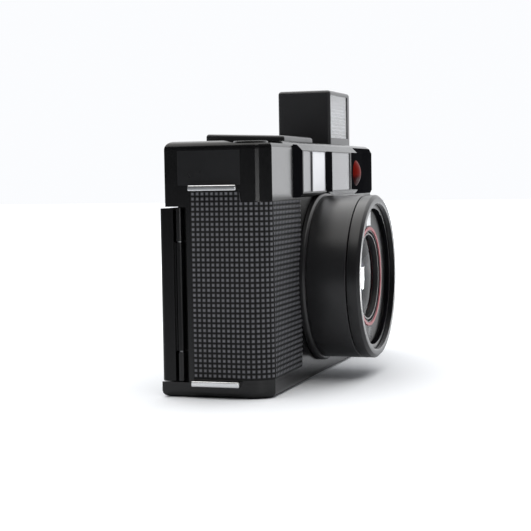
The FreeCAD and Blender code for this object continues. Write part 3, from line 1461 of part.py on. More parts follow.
catch_front = case_back - d.slider_wide + gap
catch_hook = box("door_catch", (bar_x[0] - gap, bar_x[1]), (catch_front, back_y - d.door_thick / 2),
                 (lens_z - d.slider_wide / 2, lens_z + d.slider_wide / 2))
door_joined = join("door_joined", door_round, door_knuckle, knuckle_web, catch_hook, *door_ends)
knuckle_bore = rod("door_knuckle_bore", "Z", (hinge_x, hinge_y), (door_low, door_top),
                   d.hinge_pin_radius + d.running_play)
view_x = (cassette_x - d.film_window_wide / 2, cassette_x + d.film_window_wide / 2)
view_z = (lens_z - d.film_window_tall / 2, lens_z + d.film_window_tall / 2)
view_hole = box("film_window_hole", view_x, (door_inner - PAST, back_y + PAST), view_z)
skin_margin = d.door_thick * 2
skin_spans = ((left_x + skin_margin, right_x - skin_margin), (back_y - d.door_skin, back_y + PAST),
              (door_low + skin_margin, door_top - skin_margin))
skin_recess = box("door_skin_recess", *skin_spans)
node("back_door", cut("back_door_solid", door_joined, knuckle_bore, view_hole, skin_recess))
skin_sheet = box("door_skin_sheet", skin_spans[0],
                 (back_y - d.door_skin, back_y - d.door_skin + d.skin_thick), skin_spans[2])
skin_view = box("door_skin_view", (view_x[0] - wall, view_x[1] + wall), (door_inner, back_y + PAST),
                (view_z[0] - wall, view_z[1] + wall))
node("door_leatherette", cut("door_skin_solid", skin_sheet, skin_view))
node("film_window", box("film_pane", view_x, (back_y - d.door_skin - d.pane_thick, back_y - d.door_skin),
                        view_z))

# Pressure plate with its leaf spring
plate_x = (lens_x - d.gate_wide / 2 - d.slider_wide, lens_x + d.gate_wide / 2 + gap * 6)
plate_z = (lens_z - d.gate_tall / 2 - d.gate_plate, lens_z + d.gate_tall / 2 + d.gate_plate)
plate_y = film_y + gap * 1.7
plate_thick = d.film_plate_thick
node("pressure_plate", box("film_plate", plate_x, (plate_y, plate_y + plate_thick), plate_z))
leaf_y = door_inner - gap
leaf_mid = (plate_x[0] + plate_x[1]) / 2
leaf_half = (plate_x[1] - plate_x[0]) / 2 - d.slider_long
leaf = box("leaf", (leaf_mid - leaf_half, leaf_mid + leaf_half), (leaf_y, door_inner),
           (lens_z - d.slider_wide / 2, lens_z + d.slider_wide / 2))
leaf_tips = []
for end, way in (("left", -1), ("right", 1)):
    tip_x = leaf_mid + (leaf_half - d.slider_wide / 2) * way
    leaf_tips.append(box("leaf_tip_" + end, (tip_x - gap, tip_x + gap), (leaf_y - gap, leaf_y),
                         (lens_z - d.slider_wide / 2, lens_z + d.slider_wide / 2)))
node("pressure_spring", join("leaf_spring", leaf, *leaf_tips))

# Leatherette: one sheet round the grip end and one on the front beside the lens
sheet_low = d.low_lug + d.lug_tall + gap
sheet_high = d.high_lug - gap
wrap_outer = prism("grip_sheet", plan(-d.skin_thick, case_back), (sheet_low, sheet_high))
wrap_inner = prism("grip_sheet_inside", plan(as_size(0), back_y), (0, d.body_height))
wrap_end = box("grip_sheet_end", (-d.grip_skin_end, right_x + PAST * 2), (front_y - PAST, back_y),
               (0, d.body_height))
wrap_back = box("grip_sheet_back", (left_x - PAST, right_x), (front_y + d.grip_skin_depth, back_y),
                (0, d.body_height))
wrap_step = box("grip_sheet_step", (left_x - PAST, right_x), (front_y - PAST, side_panel_front),
                (d.front_seam - gap, d.body_height))
mount_clear = rod("mount_clear", "Y", (lens_x, lens_z), (front_y - PAST, inner_front),
                  lens_flange_radius + gap)
grip_sheet = cut("grip_sheet_solid", wrap_outer, wrap_inner, wrap_end, wrap_back, wrap_step, mount_clear)
left_sheet = box("left_sheet", (d.left_skin_start, right_x - d.corner_reach_x),
                 (front_y - d.skin_thick, front_y), (sheet_low, d.front_seam - gap))
lamp_clear = rod("lamp_clear", "Y", (d.lamp_offset, lamp_z), (front_y - PAST, inner_front),
                 d.lamp_radius + gap)
left_solid = cut("left_sheet_solid", left_sheet, lamp_clear)
node("front_leatherette", group("front_sheets", grip_sheet, left_solid))

# Strap lugs: two alike, each a bar on two legs through the end wall
lugs = []
for which, low in (("high", d.high_lug), ("low", d.low_lug)):
    height = (low, low + d.lug_tall)
    bar = box(which + "_lug_bar", (left_x - d.lug_stand - d.lug_thick, left_x - d.lug_stand),
              (lug_front, lug_back), height)
    ends = []
    for end, start in (("front", lug_front), ("back", lug_back - d.lug_thick)):
        ends.append(box(which + "_lug_leg_" + end, (left_x - d.lug_stand - d.lug_thick / 2, inner_left),
                        (start, start + d.lug_thick), height))
    lugs.append(join(which + "_lug", bar, *ends))
node("strap_lugs", group("lugs", *lugs))

# Check every object, then write one STEP file for each node
doc.recompute()
for item in doc.Objects:
    if "Invalid" in item.State or "Error" in item.State:
        raise RuntimeError(item.Name + " did not recompute")
os.makedirs("parts", exist_ok=True)
for item in nodes:
    if item.Shape.isNull() or not item.Shape.isValid():
        raise RuntimeError(item.Label + " has no valid shape")
    item.Shape.exportStep(os.path.join("parts", item.Label + ".step"))
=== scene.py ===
import json
import math
import bmesh
import bpy
import numpy as np
from mathutils import Matrix, Vector


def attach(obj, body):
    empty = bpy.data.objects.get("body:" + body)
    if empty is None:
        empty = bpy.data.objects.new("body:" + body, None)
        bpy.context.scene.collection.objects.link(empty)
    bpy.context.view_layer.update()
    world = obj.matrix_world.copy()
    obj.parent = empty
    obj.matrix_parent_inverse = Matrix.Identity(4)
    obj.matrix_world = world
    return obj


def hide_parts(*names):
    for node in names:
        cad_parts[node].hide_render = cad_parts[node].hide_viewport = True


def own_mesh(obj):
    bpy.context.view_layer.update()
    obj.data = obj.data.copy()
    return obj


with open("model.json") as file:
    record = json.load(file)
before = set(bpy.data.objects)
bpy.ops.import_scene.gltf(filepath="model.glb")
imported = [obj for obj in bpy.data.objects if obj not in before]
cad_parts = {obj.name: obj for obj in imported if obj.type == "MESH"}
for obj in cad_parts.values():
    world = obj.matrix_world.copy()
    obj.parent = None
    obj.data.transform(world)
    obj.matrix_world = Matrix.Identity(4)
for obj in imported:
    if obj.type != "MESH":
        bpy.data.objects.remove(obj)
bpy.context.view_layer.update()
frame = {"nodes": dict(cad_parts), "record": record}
scene = bpy.context.scene
scene.view_settings.view_transform = "Standard"

# The view. The photograph looks at the grip end from about half a metre, a little above the
# lens, so the front is seen at a low angle. The frame is square.
picture_width = 531.0
sensor_width = 36.0
eye = np.array((-0.441, -0.1381, 0.0652))
azimuth, elevation, roll = (math.radians(a) for a in (-72.0, 3.70, -0.95))
focal_pixels = 1358.0
back = np.array((math.sin(azimuth) * math.cos(elevation),
                 -math.cos(azimuth) * math.cos(elevation),
                 math.sin(elevation)))
across = np.cross(-back, (0.0, 0.0, 1.0))
across /= np.linalg.norm(across)
upward = np.cross(across, -back)
turned_across = across * math.cos(roll) + upward * math.sin(roll)
turned_upward = upward * math.cos(roll) - across * math.sin(roll)
lens_data = bpy.data.cameras.new("view")
lens_data.sensor_width = sensor_width
lens_data.lens = focal_pixels * sensor_width / picture_width
lens_data.clip_start = 0.01
camera = bpy.data.objects.new("view", lens_data)
scene.collection.objects.link(camera)
camera.matrix_world = Matrix([[*row, spot] for row, spot in
                              zip(np.array((turned_across, turned_upward, back)).T.tolist(), eye)]
                             + [[0, 0, 0, 1]])
scene.camera = camera


class Flow:
    """A shader socket that takes part in Python sums. Each sum adds its Math node."""

    def __init__(self, shader, socket):
        self.shader = shader
        self.socket = socket

    def sum(self, operation, *values):
        return self.shader.node("ShaderNodeMath", {"operation": operation}, dict(enumerate(values)))

    def __add__(self, other):
        return self.sum("ADD", self, other)

    def __radd__(self, other):
        return self.sum("ADD", other, self)

    def __sub__(self, other):
        return self.sum("SUBTRACT", self, other)

    def __rsub__(self, other):
        return self.sum("SUBTRACT", other, self)

    def __mul__(self, other):
        return self.sum("MULTIPLY", self, other)

    def __rmul__(self, other):
        return self.sum("MULTIPLY", other, self)

    def wave(self):
        return self.sum("SINE", self)

    def between(self, low, painted_top_light):
        """Runs smoothly from 0 at low to 1 at high."""
        return self.shader.node("ShaderNodeMapRange", {"interpolation_type": "SMOOTHSTEP"},
                                {"Value": self, "From Min": low, "From Max": painted_top_light})


class Shader:
    """The nodes of one material or of the world."""

    def __init__(self, owner):
        owner.use_nodes = True
        self.tree = owner.node_tree
        self.tree.nodes.clear()

    def node(self, kind, settings, inputs, output=0):
        made = self.tree.nodes.new(kind)
        for name, value in settings.items():
            setattr(made, name, value)
        for name, value in inputs.items():
            if isinstance(value, Flow):
                self.tree.links.new(value.socket, made.inputs[name])
            else:
                made.inputs[name].default_value = value
        return Flow(self, made.outputs[output]) if made.outputs else made

    def place(self):
        return self.node("ShaderNodeTexCoord", {}, {}, "Object")

    def parts(self, vector):
        split = self.tree.nodes.new("ShaderNodeSeparateXYZ")
        self.tree.links.new(vector.socket, split.inputs[0])
        return [Flow(self, out) for out in split.outputs]

    def noise(self, vector, scale, detail=3.0):
        return self.node("ShaderNodeTexNoise", {},
                         {"Vector": vector, "Scale": scale, "Detail": detail})

    def mixed(self, share, first, second):
        """A colour between two colours."""
        made = self.tree.nodes.new("ShaderNodeMix")
        made.data_type = "RGBA"
        for index, value in ((0, share), (6, first), (7, second)):
            if isinstance(value, Flow):
                self.tree.links.new(value.socket, made.inputs[index])
            elif index:
                made.inputs[index].default_value = (*value, 1.0)
            else:
                made.inputs[index].default_value = value
        return Flow(self, made.outputs[2])


# The light. A wide soft lamp hangs above, the far side of the room is a bright backdrop, and the
# near side is dim. So black paint seen square on stays dark, and turns grey at low angles.
room = bpy.data.worlds.new("room")
scene.world = room
air = Shader(room)
sky = air.node("ShaderNodeTexCoord", {}, {}, "Generated")
way = air.node("ShaderNodeVectorMath", {"operation": "DOT_PRODUCT"},
               {0: sky, 1: (0.96, 0.10, 0.26)}, "Value")
glow = 0.06 + 1.34 * way.between(-0.10, 0.90)
seen = air.node("ShaderNodeLightPath", {}, {}, "Is Camera Ray")
light = air.node("ShaderNodeBackground", {}, {"Color": (0.965, 0.975, 0.995, 1.0),
                                              "Strength": seen + (1.0 - seen) * glow})
air.node("ShaderNodeOutputWorld", {}, {"Surface": light})


def lamp(name, spot, aim, size, power, colour):
    """A square soft lamp at spot that faces aim."""
    data = bpy.data.lights.new(name, "AREA")
    data.size = size
    data.energy = power
    data.color = colour
    made = bpy.data.objects.new(name, data)
    scene.collection.objects.link(made)
    facing = np.array(spot) - np.array(aim)
    facing /= np.linalg.norm(facing)
    side = np.cross((0.0, 1.0, 0.0), facing)
    side /= np.linalg.norm(side)
    up = np.cross(facing, side)
    made.matrix_world = Matrix([[*row, place] for row, place in
                                zip(np.array((side, up, facing)).T.tolist(), spot)] + [[0, 0, 0, 1]])
    made.visible_camera = False


lamp("top_lamp", (0.02, 0.05, 0.65), (0.0, 0.0, 0.04), 1.15, 7.6, (1.0, 0.985, 0.96))
lamp("low_lamp", (0.138, -0.104, 0.0195), (-0.008, -0.033, 0.032), 0.020, 0.030, (1.0, 1.0, 1.0))
lamp("near_lamp", (-0.432, -0.349, 0.0285), (-0.064, -0.014, 0.066), 0.050, 0.12, (1.0, 1.0, 1.0))

# The table: a wide white board. Near the camera it shows its light and the soft shadow. Far off it glows
# white and fades into the backdrop, as the lamp no longer reaches it. For all rays except camera rays that
# glow is stronger towards +X, a painted glow, and in reflections its near (-X) side is coloured dark grey, a
# painted shade.
reach = 3.0
table = bpy.data.meshes.new("table")
table.from_pydata([(-reach, -reach, 0), (reach, -reach, 0), (reach, reach, 0), (-reach, reach, 0)],
                  [], [(0, 1, 2, 3)])
board = bpy.data.objects.new("table", table)
scene.collection.objects.link(board)
top = bpy.data.materials.new("table_white")
paint = Shader(top)
spot = paint.place()
far_off = paint.node("ShaderNodeVectorMath", {"operation": "LENGTH"}, {0: spot}, "Value").between(0.10, 0.75)
east, north, height = paint.parts(spot)
seen = paint.node("ShaderNodeLightPath", {}, {}, "Is Camera Ray")
# Painted glow: for rays other than camera rays the board glows more towards +X.
backdrop_and_painted_glow = seen + (1.0 - seen) * east.between(-0.1, 0.8)
mirrored = paint.node("ShaderNodeLightPath", {}, {}, "Is Glossy Ray")
# Painted shade: seen in reflections, the board's near (-X) side is coloured dark grey.
painted_near_shade = mirrored * (1.0 - east.between(-0.25, 0.15))
cover = paint.node("ShaderNodeBsdfDiffuse", {},
                   {"Color": paint.mixed(painted_near_shade, (0.92, 0.94, 0.97), (0.40, 0.41, 0.43))})
plain = paint.node("ShaderNodeEmission", {}, {"Color": (0.97, 0.985, 1.0, 1.0),
                                              "Strength": far_off * backdrop_and_painted_glow})
both = paint.node("ShaderNodeAddShader", {}, {0: cover, 1: plain})
paint.node("ShaderNodeOutputMaterial", {}, {"Surface": both})
table.materials.append(top)

# Case finishes. Satin black paint over metal and moulded plastic: nearly even, with a faint
# orange peel and slightly paler, drier patches where hands rub it.
body_of = {node: body for body, nodes in frame["record"]["behaviour"]["bodies"].items()
           for node in nodes}


def material(name, build, **fixed):
    """A material whose shader inputs come from build(shader, place). Fixed inputs are plain numbers."""
    made = bpy.data.materials.new(name)
    shader = Shader(made)
    inputs = build(shader, shader.place())
    for key, value in fixed.items():
        inputs[key.replace("_", " ")] = value
    surface = shader.node("ShaderNodeBsdfPrincipled", {}, inputs)
    shader.node("ShaderNodeOutputMaterial", {}, {"Surface": surface})
    return made


def bumped(shader, height, distance):
    """A surface direction tilted by a height, which is distance metres high where it is 1."""
    return shader.node("ShaderNodeBump", {}, {"Height": height, "Distance": distance,
                                              "Strength": 1.0})


peel = 0.000002
peel_scale = 500.0


def coated(colour, worn, roughness):
    """Paint or plastic: two near colours, mixed by soft cloudy noise, and a fine grain."""
    def build(shader, place):
        cloud = shader.noise(place, 60.0)
        grain = shader.noise(place, peel_scale)
        return {
            "Base Color": shader.mixed(cloud.between(0.35, 0.75), colour, worn),
            "Roughness": roughness + 0.10 * cloud + 0.06 * grain,
            "Normal": bumped(shader, grain, peel),
        }
    return build


case_paint = material("case_paint", coated((0.0016, 0.0016, 0.0018), (0.0026, 0.0026, 0.0029), 0.15),
                      Specular_IOR_Level=0.5)
satin_paint = material("satin_paint", coated((0.0215, 0.0215, 0.0235), (0.0245, 0.0245, 0.0265), 0.24),
                       Specular_IOR_Level=0.5)
# Painted light: a paler copy of the case paint, for the top cover's flat side face.
side_painted_light = material("side_painted_light", coated((0.0100, 0.0100, 0.0110), (0.0120, 0.0120, 0.0132), 0.22),
                       Specular_IOR_Level=0.5)
door_paint = material("door_paint", coated((0.0016, 0.0016, 0.0018), (0.0026, 0.0026, 0.0029), 0.16),
                      Specular_IOR_Level=0.32)
gloss_paint = material("gloss_paint", coated((0.005, 0.005, 0.006), (0.007, 0.007, 0.008), 0.12),
                       Specular_IOR_Level=0.24, IOR=1.40)
dull_plastic = material("dull_plastic", coated((0.014, 0.014, 0.015), (0.02, 0.02, 0.021), 0.48))


def paint_node(finish, *nodes):
    """Gives CAD nodes a finish."""
    for node in nodes:
        slots = frame["nodes"][node].data.materials
        slots.clear()
        slots.append(finish)


def mesh_piece(name, node, finish):
    """An empty piece that rides with a CAD node and stands for it."""
    data = bpy.data.meshes.new(name)
    data.materials.append(finish)
    piece = bpy.data.objects.new(name, data)
    scene.collection.objects.link(piece)
    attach(piece, body_of[node])
    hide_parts(node)
    return piece


def eased(node, finish, width=0.0003, angle=16.0, segments=2):
    """A CAD node's own shape with its doubles merged and its sharp edges eased by width."""
    piece = mesh_piece(node + "_shaped", node, finish)
    work = bmesh.new()
    work.from_mesh(frame["nodes"][node].data)
    bmesh.ops.remove_doubles(work, verts=work.verts, dist=1e-6)
    flat = math.radians(0.6)
    bmesh.ops.dissolve_limit(work, angle_limit=flat, verts=work.verts, edges=work.edges)
    for face in work.faces:
        face.material_index = 0
        face.smooth = True
    work.to_mesh(piece.data)
    work.free()
    edge = piece.modifiers.new("eased", "BEVEL")
    edge.width = width
    edge.segments = segments
    edge.limit_method = "ANGLE"
    edge.angle_limit = math.radians(angle)
    edge.use_clamp_overlap = True
    even = piece.modifiers.new("even", "WEIGHTED_NORMAL")
    even.mode = "FACE_AREA"
    even.weight = 100
    even.keep_sharp = True
    return piece


# The case. Top, front and bottom covers and the back door are moulded or pressed shells, each
# with eased edges that catch a thin line of light where they meet.
def split_finish(piece, planes, finish, chosen):
    """Cuts the piece's faces along planes of (axis, place) and gives the chosen ones a finish."""
    piece.data.materials.append(finish)
    work = bmesh.new()
    work.from_mesh(piece.data)
    for direction, place in planes:
        spot = [place if n == direction else 0.0 for n in range(3)]
        way = [1.0 if n == direction else 0.0 for n in range(3)]
        bmesh.ops.bisect_plane(work, geom=work.verts[:] + work.edges[:] + work.faces[:], dist=1e-7,
                               plane_co=spot, plane_no=way)
    for face in work.faces:
        if chosen(face.calc_center_median(), face.normal):
            face.material_index = len(piece.data.materials) - 1
    work.to_mesh(piece.data)
    work.free()


case_edge = 0.00030
for shell in ("front_cover", "bottom_cover"):
    eased(shell, case_paint, case_edge)
eased("back_door", door_paint, case_edge)
eased("viewfinder_hump", satin_paint, 0.00035)
top_shell = eased("top_cover", case_paint, 0.00022, angle=11.5)

# The top cover's flat side face gets a slightly paler copy of the case paint, painted light on that side,
# and the plate beside the windows is bare and glossier than the rest.
split_finish(top_shell, ((1, 0.0109), (2, 0.0735)), side_painted_light,
             lambda spot, way: spot.x < -0.0650 and -0.0088 < spot.y < 0.0109 and spot.z < 0.0735)
plate_paint = material("plate_paint", coated((0.006, 0.006, 0.007), (0.008, 0.008, 0.009), 0.10),
                       Specular_IOR_Level=0.5, IOR=2.4)
split_finish(top_shell, ((0, -0.0397),), plate_paint,
             lambda spot, way: spot.x < -0.0397 and way.y < -0.99 and spot.z > 0.0585)

# The window strip: a glossy black frame in front of the viewfinder and rangefinder, with a bevel above and
# below, and three pale panes set just under its face. The finder pane's near-white colour is painted light,
# standing in for the light seen in its clear glass.
strip = eased("window_surround", gloss_paint, 0.00025)
flock = material("flock_black", coated((0.005, 0.005, 0.006), (0.008, 0.008, 0.009), 0.80),
                 Specular_IOR_Level=0.0)
split_finish(strip, [(0, x) for x in (-0.0358, -0.0084, -0.0006, 0.0248, 0.0335)], flock,
             lambda spot, way: spot.x < -0.0358 or spot.x > 0.0335 or 0.0606 < spot.z < 0.0733
             and (-0.0084 < spot.x < -0.0006 or spot.x > 0.0248))


def pane_build(shader, place):
    x, y, z = shader.parts(place)
    # Painted light: near-white where x lies across the finder pane, grey on the other panes.
    finder_painted_light = x.between(-0.0247, -0.0238) * (1.0 - x.between(-0.0088, -0.0079))
    ribs = (z * 9000.0).wave() * x.between(-0.001, 0.0)
    return {
        "Base Color": shader.mixed(finder_painted_light, (0.24, 0.24, 0.25), (0.84, 0.85, 0.88)),
        "Roughness": 0.16 + 0.06 * shader.noise(place, 300.0),
        "Normal": bumped(shader, ribs, 0.00001),
    }


pane_finish = material("pale_pane", pane_build)
paint_node(pane_finish, "front_windows", "counter_window")


# The self-timer lamp: a clear red dome over a small bulb. Its colour is painted dark red below, where it
# faces the table, and bright red above: painted shade underneath and painted light on top.
def lamp_build(shader, place):
    x, y, z = shader.parts(place)
    # Painted light: brighter red above this height, painted shade below it.
    painted_top_light = z.between(0.0642, 0.0662)
    return {
        "Base Color": shader.mixed(painted_top_light, (0.030, 0.001, 0.001), (0.16, 0.006, 0.003)),
        "Roughness": 0.30 + 0.08 * shader.noise(place, 400.0),
    }


lamp_finish = material("red_dome", lamp_build, IOR=1.08)


def grid_faces(rows, columns, wrap_rows, wrap_columns):
    """The corners of each square of a grid, as an array of four point numbers."""
    r = np.arange(rows if wrap_rows else rows - 1)[:, None]
    c = np.arange(columns if wrap_columns else columns - 1)[None, :]
    r2 = (r + 1) % rows
    c2 = (c + 1) % columns
    return np.stack([r * columns + c, r * columns + c2, r2 * columns + c2, r2 * columns + c],
                    axis=-1).reshape(-1, 4)


def fill_mesh(piece, points, faces, sharp=35.0):
    """Puts points and faces into the piece, merges doubles, turns faces outwards and smooths. Edges
    sharper than the angle stay sharp."""
    data = piece.data
    data.from_pydata(points.reshape(-1, 3).tolist(), [], faces.tolist())
    work = bmesh.new()
    work.from_mesh(data)
    bmesh.ops.remove_doubles(work, verts=work.verts, dist=2e-7)
    bmesh.ops.dissolve_degenerate(work, edges=work.edges, dist=1e-7)
    bmesh.ops.recalc_face_normals(work, faces=work.faces)
    for face in work.faces:
        face.smooth = True
    work.to_mesh(data)
    work.free()
    data.set_sharp_from_angle(angle=math.radians(sharp))


def spun(piece, profile, centre, axis="Y", steps=160, rounding=0.0):
    """A closed profile of (radius, distance) turned about an axis. Each corner is cut by a small
    arc: point = (1-t)^2 before + 2t(1-t) corner + t^2 after, for t from 0 to 1."""
    corners = np.array(profile, float)
    if rounding:
        before = np.roll(corners, 1, 0) - corners
        after = np.roll(corners, -1, 0) - corners
        lengths = [np.linalg.norm(side, axis=1, keepdims=True) for side in (before, after)]
        cut = np.minimum(rounding, 0.45 * np.minimum(*lengths))
        on_axis = corners[:, :1] < 1e-9
        cut = np.where(on_axis, 0.0, cut)
        start = corners + before / lengths[0] * cut
        end = corners + after / lengths[1] * cut
        t = np.linspace(0.0, 1.0, 4)[None, :, None]
        corners = ((1 - t) ** 2 * start[:, None] + 2 * t * (1 - t) * corners[:, None]
                   + t ** 2 * end[:, None]).reshape(-1, 2)
    turn = np.linspace(0.0, 2 * math.pi, steps, endpoint=False)[None, :]
    radius, along = corners[:, :1], corners[:, 1:]
    ring = [radius * np.cos(turn), radius * np.sin(turn), along + 0 * turn]
    order = (0, 2, 1) if axis == "Y" else (0, 1, 2)
    points = np.stack([ring[i] for i in order], axis=-1) + np.array(centre)
    faces = grid_faces(len(corners), steps, True, True)
    fill_mesh(piece, points, faces)


def arc_profile(radius, edge, vertex, count=24):
    """Points of a round cap from the axis out: sphere through the vertex and the edge circle."""
    rise = edge - vertex
    ball = (radius * radius + rise * rise) / (2 * abs(rise))
    r = np.linspace(0.0, radius, count)
    drop = ball - np.sqrt(ball * ball - r * r)
    return np.stack([r, vertex + math.copysign(1, rise) * drop], axis=-1).tolist()


lamp_radius = 0.0045
lamp_back = -0.0155
lamp_dome = mesh_piece("timer_lamp_dome", "timer_lamp", lamp_finish)
spun(lamp_dome, arc_profile(lamp_radius, -0.0191, -0.0207) + [(lamp_radius, lamp_back), (0.0, lamp_back)],
     (0.0317, 0.0, 0.0663), steps=64)

# The wrap: embossed sheet glued round the grip end, beside the lens and on the door. Its face is a field of
# small square pyramids in straight rows, coloured grey at the tips and near black between them: a painted
# highlight on the tips and painted shade in the grooves.
pitch = 0.0015


def wrap_build(shader, place):
    cloud = shader.noise(place, 80.0)
    fine = shader.noise(place, 2500.0, 2.0)
    lift = shader.node("ShaderNodeAttribute", {"attribute_name": "lift"}, {}, "Fac")
    # Painted light: grey at the tips of the pyramids and near black between them.
    painted_tip_light = lift.between(0.28, 0.86)
    return {
        "Base Color": shader.mixed(painted_tip_light, (0.0012, 0.0012, 0.0014), (0.170, 0.172, 0.188)),
        "Roughness": 0.62 - 0.30 * painted_tip_light + 0.14 * cloud,
        "Normal": bumped(shader, fine, 0.00002),
    }


wrap_finish = material("wrap", wrap_build, Specular_IOR_Level=0.42)


def pyramids(along, up, rise):
    """Height of the grain: the lower of two triangle waves, cut flat a little under the tips."""
    waves = [1 - 2 * np.abs(v / pitch - np.floor(v / pitch) - 0.5) for v in (along, up)]
    return rise * np.minimum(np.minimum(waves[0], waves[1]), 0.82)


def grained(piece, patches, place):
    """Sheets of grain. Each patch is (low, high) along and up, and place puts a point at (along,
    up, height) in space. The outer ring of each patch is drawn down to the body."""
    base, rise = 0.00005, 0.00043
    all_points, all_faces, all_lifts, start = [], [], [], 0
    for (a0, a1), (u0, u1) in patches:
        step = pitch / 4
        a = np.concatenate([[a0], np.arange(math.ceil(a0 / step + 0.3), a1 / step - 0.3) * step, [a1]])
        u = np.concatenate([[u0], np.arange(math.ceil(u0 / step + 0.3), u1 / step - 0.3) * step, [u1]])
        along, up = np.meshgrid(a, u, indexing="ij")
        height = base + pyramids(along, up, rise)
        edge = np.zeros(along.shape, bool)
        edge[0], edge[-1], edge[:, 0], edge[:, -1] = True, True, True, True
        height = np.where(edge, 0.0, height)
        points = place(along, up, height)
        rows, columns = along.shape
        quads = grid_faces(rows, columns, False, False)
        mid_a = (along[:-1, :-1] + along[1:, 1:]).ravel() / 2 / pitch
        mid_u = (up[:-1, :-1] + up[1:, 1:]).ravel() / 2 / pitch
        same = ((mid_a % 1 < 0.5) == (mid_u % 1 < 0.5))[:, None]
        first = np.where(same, quads[:, [0, 1, 2]], quads[:, [0, 1, 3]])
        second = np.where(same, quads[:, [0, 2, 3]], quads[:, [1, 2, 3]])
        all_points.append(points.reshape(-1, 3))
        all_lifts.append((height / (base + rise)).ravel())
        all_faces.append(np.concatenate([first, second]) + start)
        start += points.shape[0] * points.shape[1]
    data = piece.data
    points = np.concatenate(all_points)
    faces = np.concatenate(all_faces)
    data.from_pydata(points.tolist(), [], faces.tolist())
    lifts = data.attributes.new("lift", "FLOAT", "POINT")
    lifts.data.foreach_set("value", np.concatenate(all_lifts))
    work = bmesh.new()
    work.from_mesh(data)
    bmesh.ops.remove_doubles(work, verts=work.verts, dist=1e-6)
    bmesh.ops.dissolve_degenerate(work, edges=work.edges, dist=1e-6)
    work.to_mesh(data)
    work.free()


# The wrap on the front and grip end follows the case: straight along the side, round the bowed
# corner, then along the front to the lens flange, whose circle it is cut to.
side_x, front_y = -0.0655, -0.0171
wrap_back, bow_start = 0.0069, -0.0087
bow_in, bow_deep = 0.0045, 0.0084
bow = (bow_in ** 2 + bow_deep ** 2) / (2 * bow_in)
bow_angle = math.asin(bow_deep / bow)
side_long = wrap_back - bow_start
bow_long = bow * bow_angle
front_start = side_long + bow_long
front_reach = 0.0282
mount_room = 0.0280
wrap_low, side_top, front_top = 0.0056, 0.0613, 0.0582


def round_the_grip(along, up, height):
    """Distance along the case's outline, height above the table and height off the case."""
    limit = np.full(up.shape, front_start + front_reach)
    inside = mount_room ** 2 - (up - 0.0324) ** 2
    rim = -0.0079 - np.sqrt(np.maximum(inside, 0.0))
    limit = np.where(inside > 0, np.minimum(limit, front_start + rim + 0.0610), limit)
    along = np.minimum(along, limit)
    angle = np.clip((along - side_long) / bow, 0.0, bow_angle)
    x = side_x + bow * (1 - np.cos(angle)) + np.maximum(along - front_start, 0.0)
    y = np.where(along < side_long, wrap_back - along, bow_start - bow * np.sin(angle))
    y = np.where(along > front_start, front_y, y)
    angle = np.where(along > front_start, math.pi / 2, angle)
    ceiling = np.where(along < side_long, side_top, front_top)
    return np.stack([x - np.cos(angle) * height, y - np.sin(angle) * height,
                     np.minimum(up, ceiling)], axis=-1)


def on_the_front(along, up, height):
    """Along is measured from the middle of the camera, and height stands off the front."""
    return np.stack([along, front_y - height, up], axis=-1)


grip_wrap = mesh_piece("grip_wrap", "front_leatherette", wrap_finish)
grained(grip_wrap, [((0.0, front_start + front_reach), (wrap_low, side_top))], round_the_grip)
side_wrap = mesh_piece("front_wrap", "front_leatherette", wrap_finish)
grained(side_wrap, [((0.0240, 0.0610), (wrap_low, front_top))], on_the_front)



# The wrap on the door: one sheet cut out round the film window, made of four patches that meet
# at the window's corners.
door_face = 0.01675


def on_the_door(along, up, height):
    """Along runs the other way, because the door faces back."""
    return np.stack([-along, door_face + height, up], axis=-1)


door_low, door_high, door_end = 0.0085, 0.0530, 0.0619
view_start, view_end = -0.0540, -0.0428
door_wrap = mesh_piece("door_wrap", "door_leatherette", wrap_finish)
grained(door_wrap, [((view_end, door_end), (door_low, door_high)),
                    ((view_start, view_end), (0.0480, door_high)),
                    ((view_start, view_end), (door_low, 0.0168)),
                    ((-door_end, view_start), (door_low, door_high))],
        on_the_door)

# The film window in the door: smoked plastic, through which the film cassette can be seen. The
# light cell behind the plate round the glass is of the same stuff.
smoked = material("smoked_pane", coated((0.012, 0.012, 0.013), (0.016, 0.016, 0.017), 0.08),
                  Coat_Weight=0.5)
paint_node(smoked, "film_window", "light_cell")

# The flash head: a moulded box with a clear ribbed pane over a bright trough and a glass tube.
# The trough is polished metal.
eased("flash_head", satin_paint, 0.00020)


def bright_build(shader, place):
    haze = shader.noise(place, 500.0)
    return {"Base Color": shader.mixed(haze, (0.90, 0.91, 0.92), (0.96, 0.96, 0.96)),
            "Roughness": 0.16 + 0.10 * haze, "Metallic": 1.0}


bright_metal = material("bright_metal", bright_build)
paint_node(bright_metal, "flash_reflector")


def flash_pane_build(shader, place):
    x, y, z = shader.parts(place)
    ribs = (z * 5200.0).wave()
    return {"Base Color": (0.93, 0.94, 0.96, 1.0), "Roughness": 0.08 + 0.05 * shader.noise(place, 300.0),
            "Normal": bumped(shader, ribs, 0.00004)}


flash_pane = material("flash_pane", flash_pane_build, Transmission_Weight=0.85, IOR=1.45)
paint_node(flash_pane, "flash_window")
tube_glass = material("tube_glass", coated((0.85, 0.87, 0.90), (0.9, 0.9, 0.92), 0.05),
                      Transmission_Weight=0.6)
paint_node(tube_glass, "flash_tube")

# The lens mount and barrel: turned metal in satin black, held by a bevelled flange. Faint turning
# lines run round them.
axis = (-0.0079, 0.0, 0.0324)


def turned_build(colour, worn, roughness):
    def build(shader, place):
        x, y, z = shader.parts(place)
        lines = shader.noise(shader.node("ShaderNodeCombineXYZ", {}, {"Y": y}), 9000.0, 2.0)
        cloud = shader.noise(place, 70.0)
        return {"Base Color": shader.mixed(cloud.between(0.3, 0.75), colour, worn),
                "Roughness": roughness + 0.08 * cloud + 0.05 * lines,
                "Normal": bumped(shader, lines, 0.000006)}
    return build


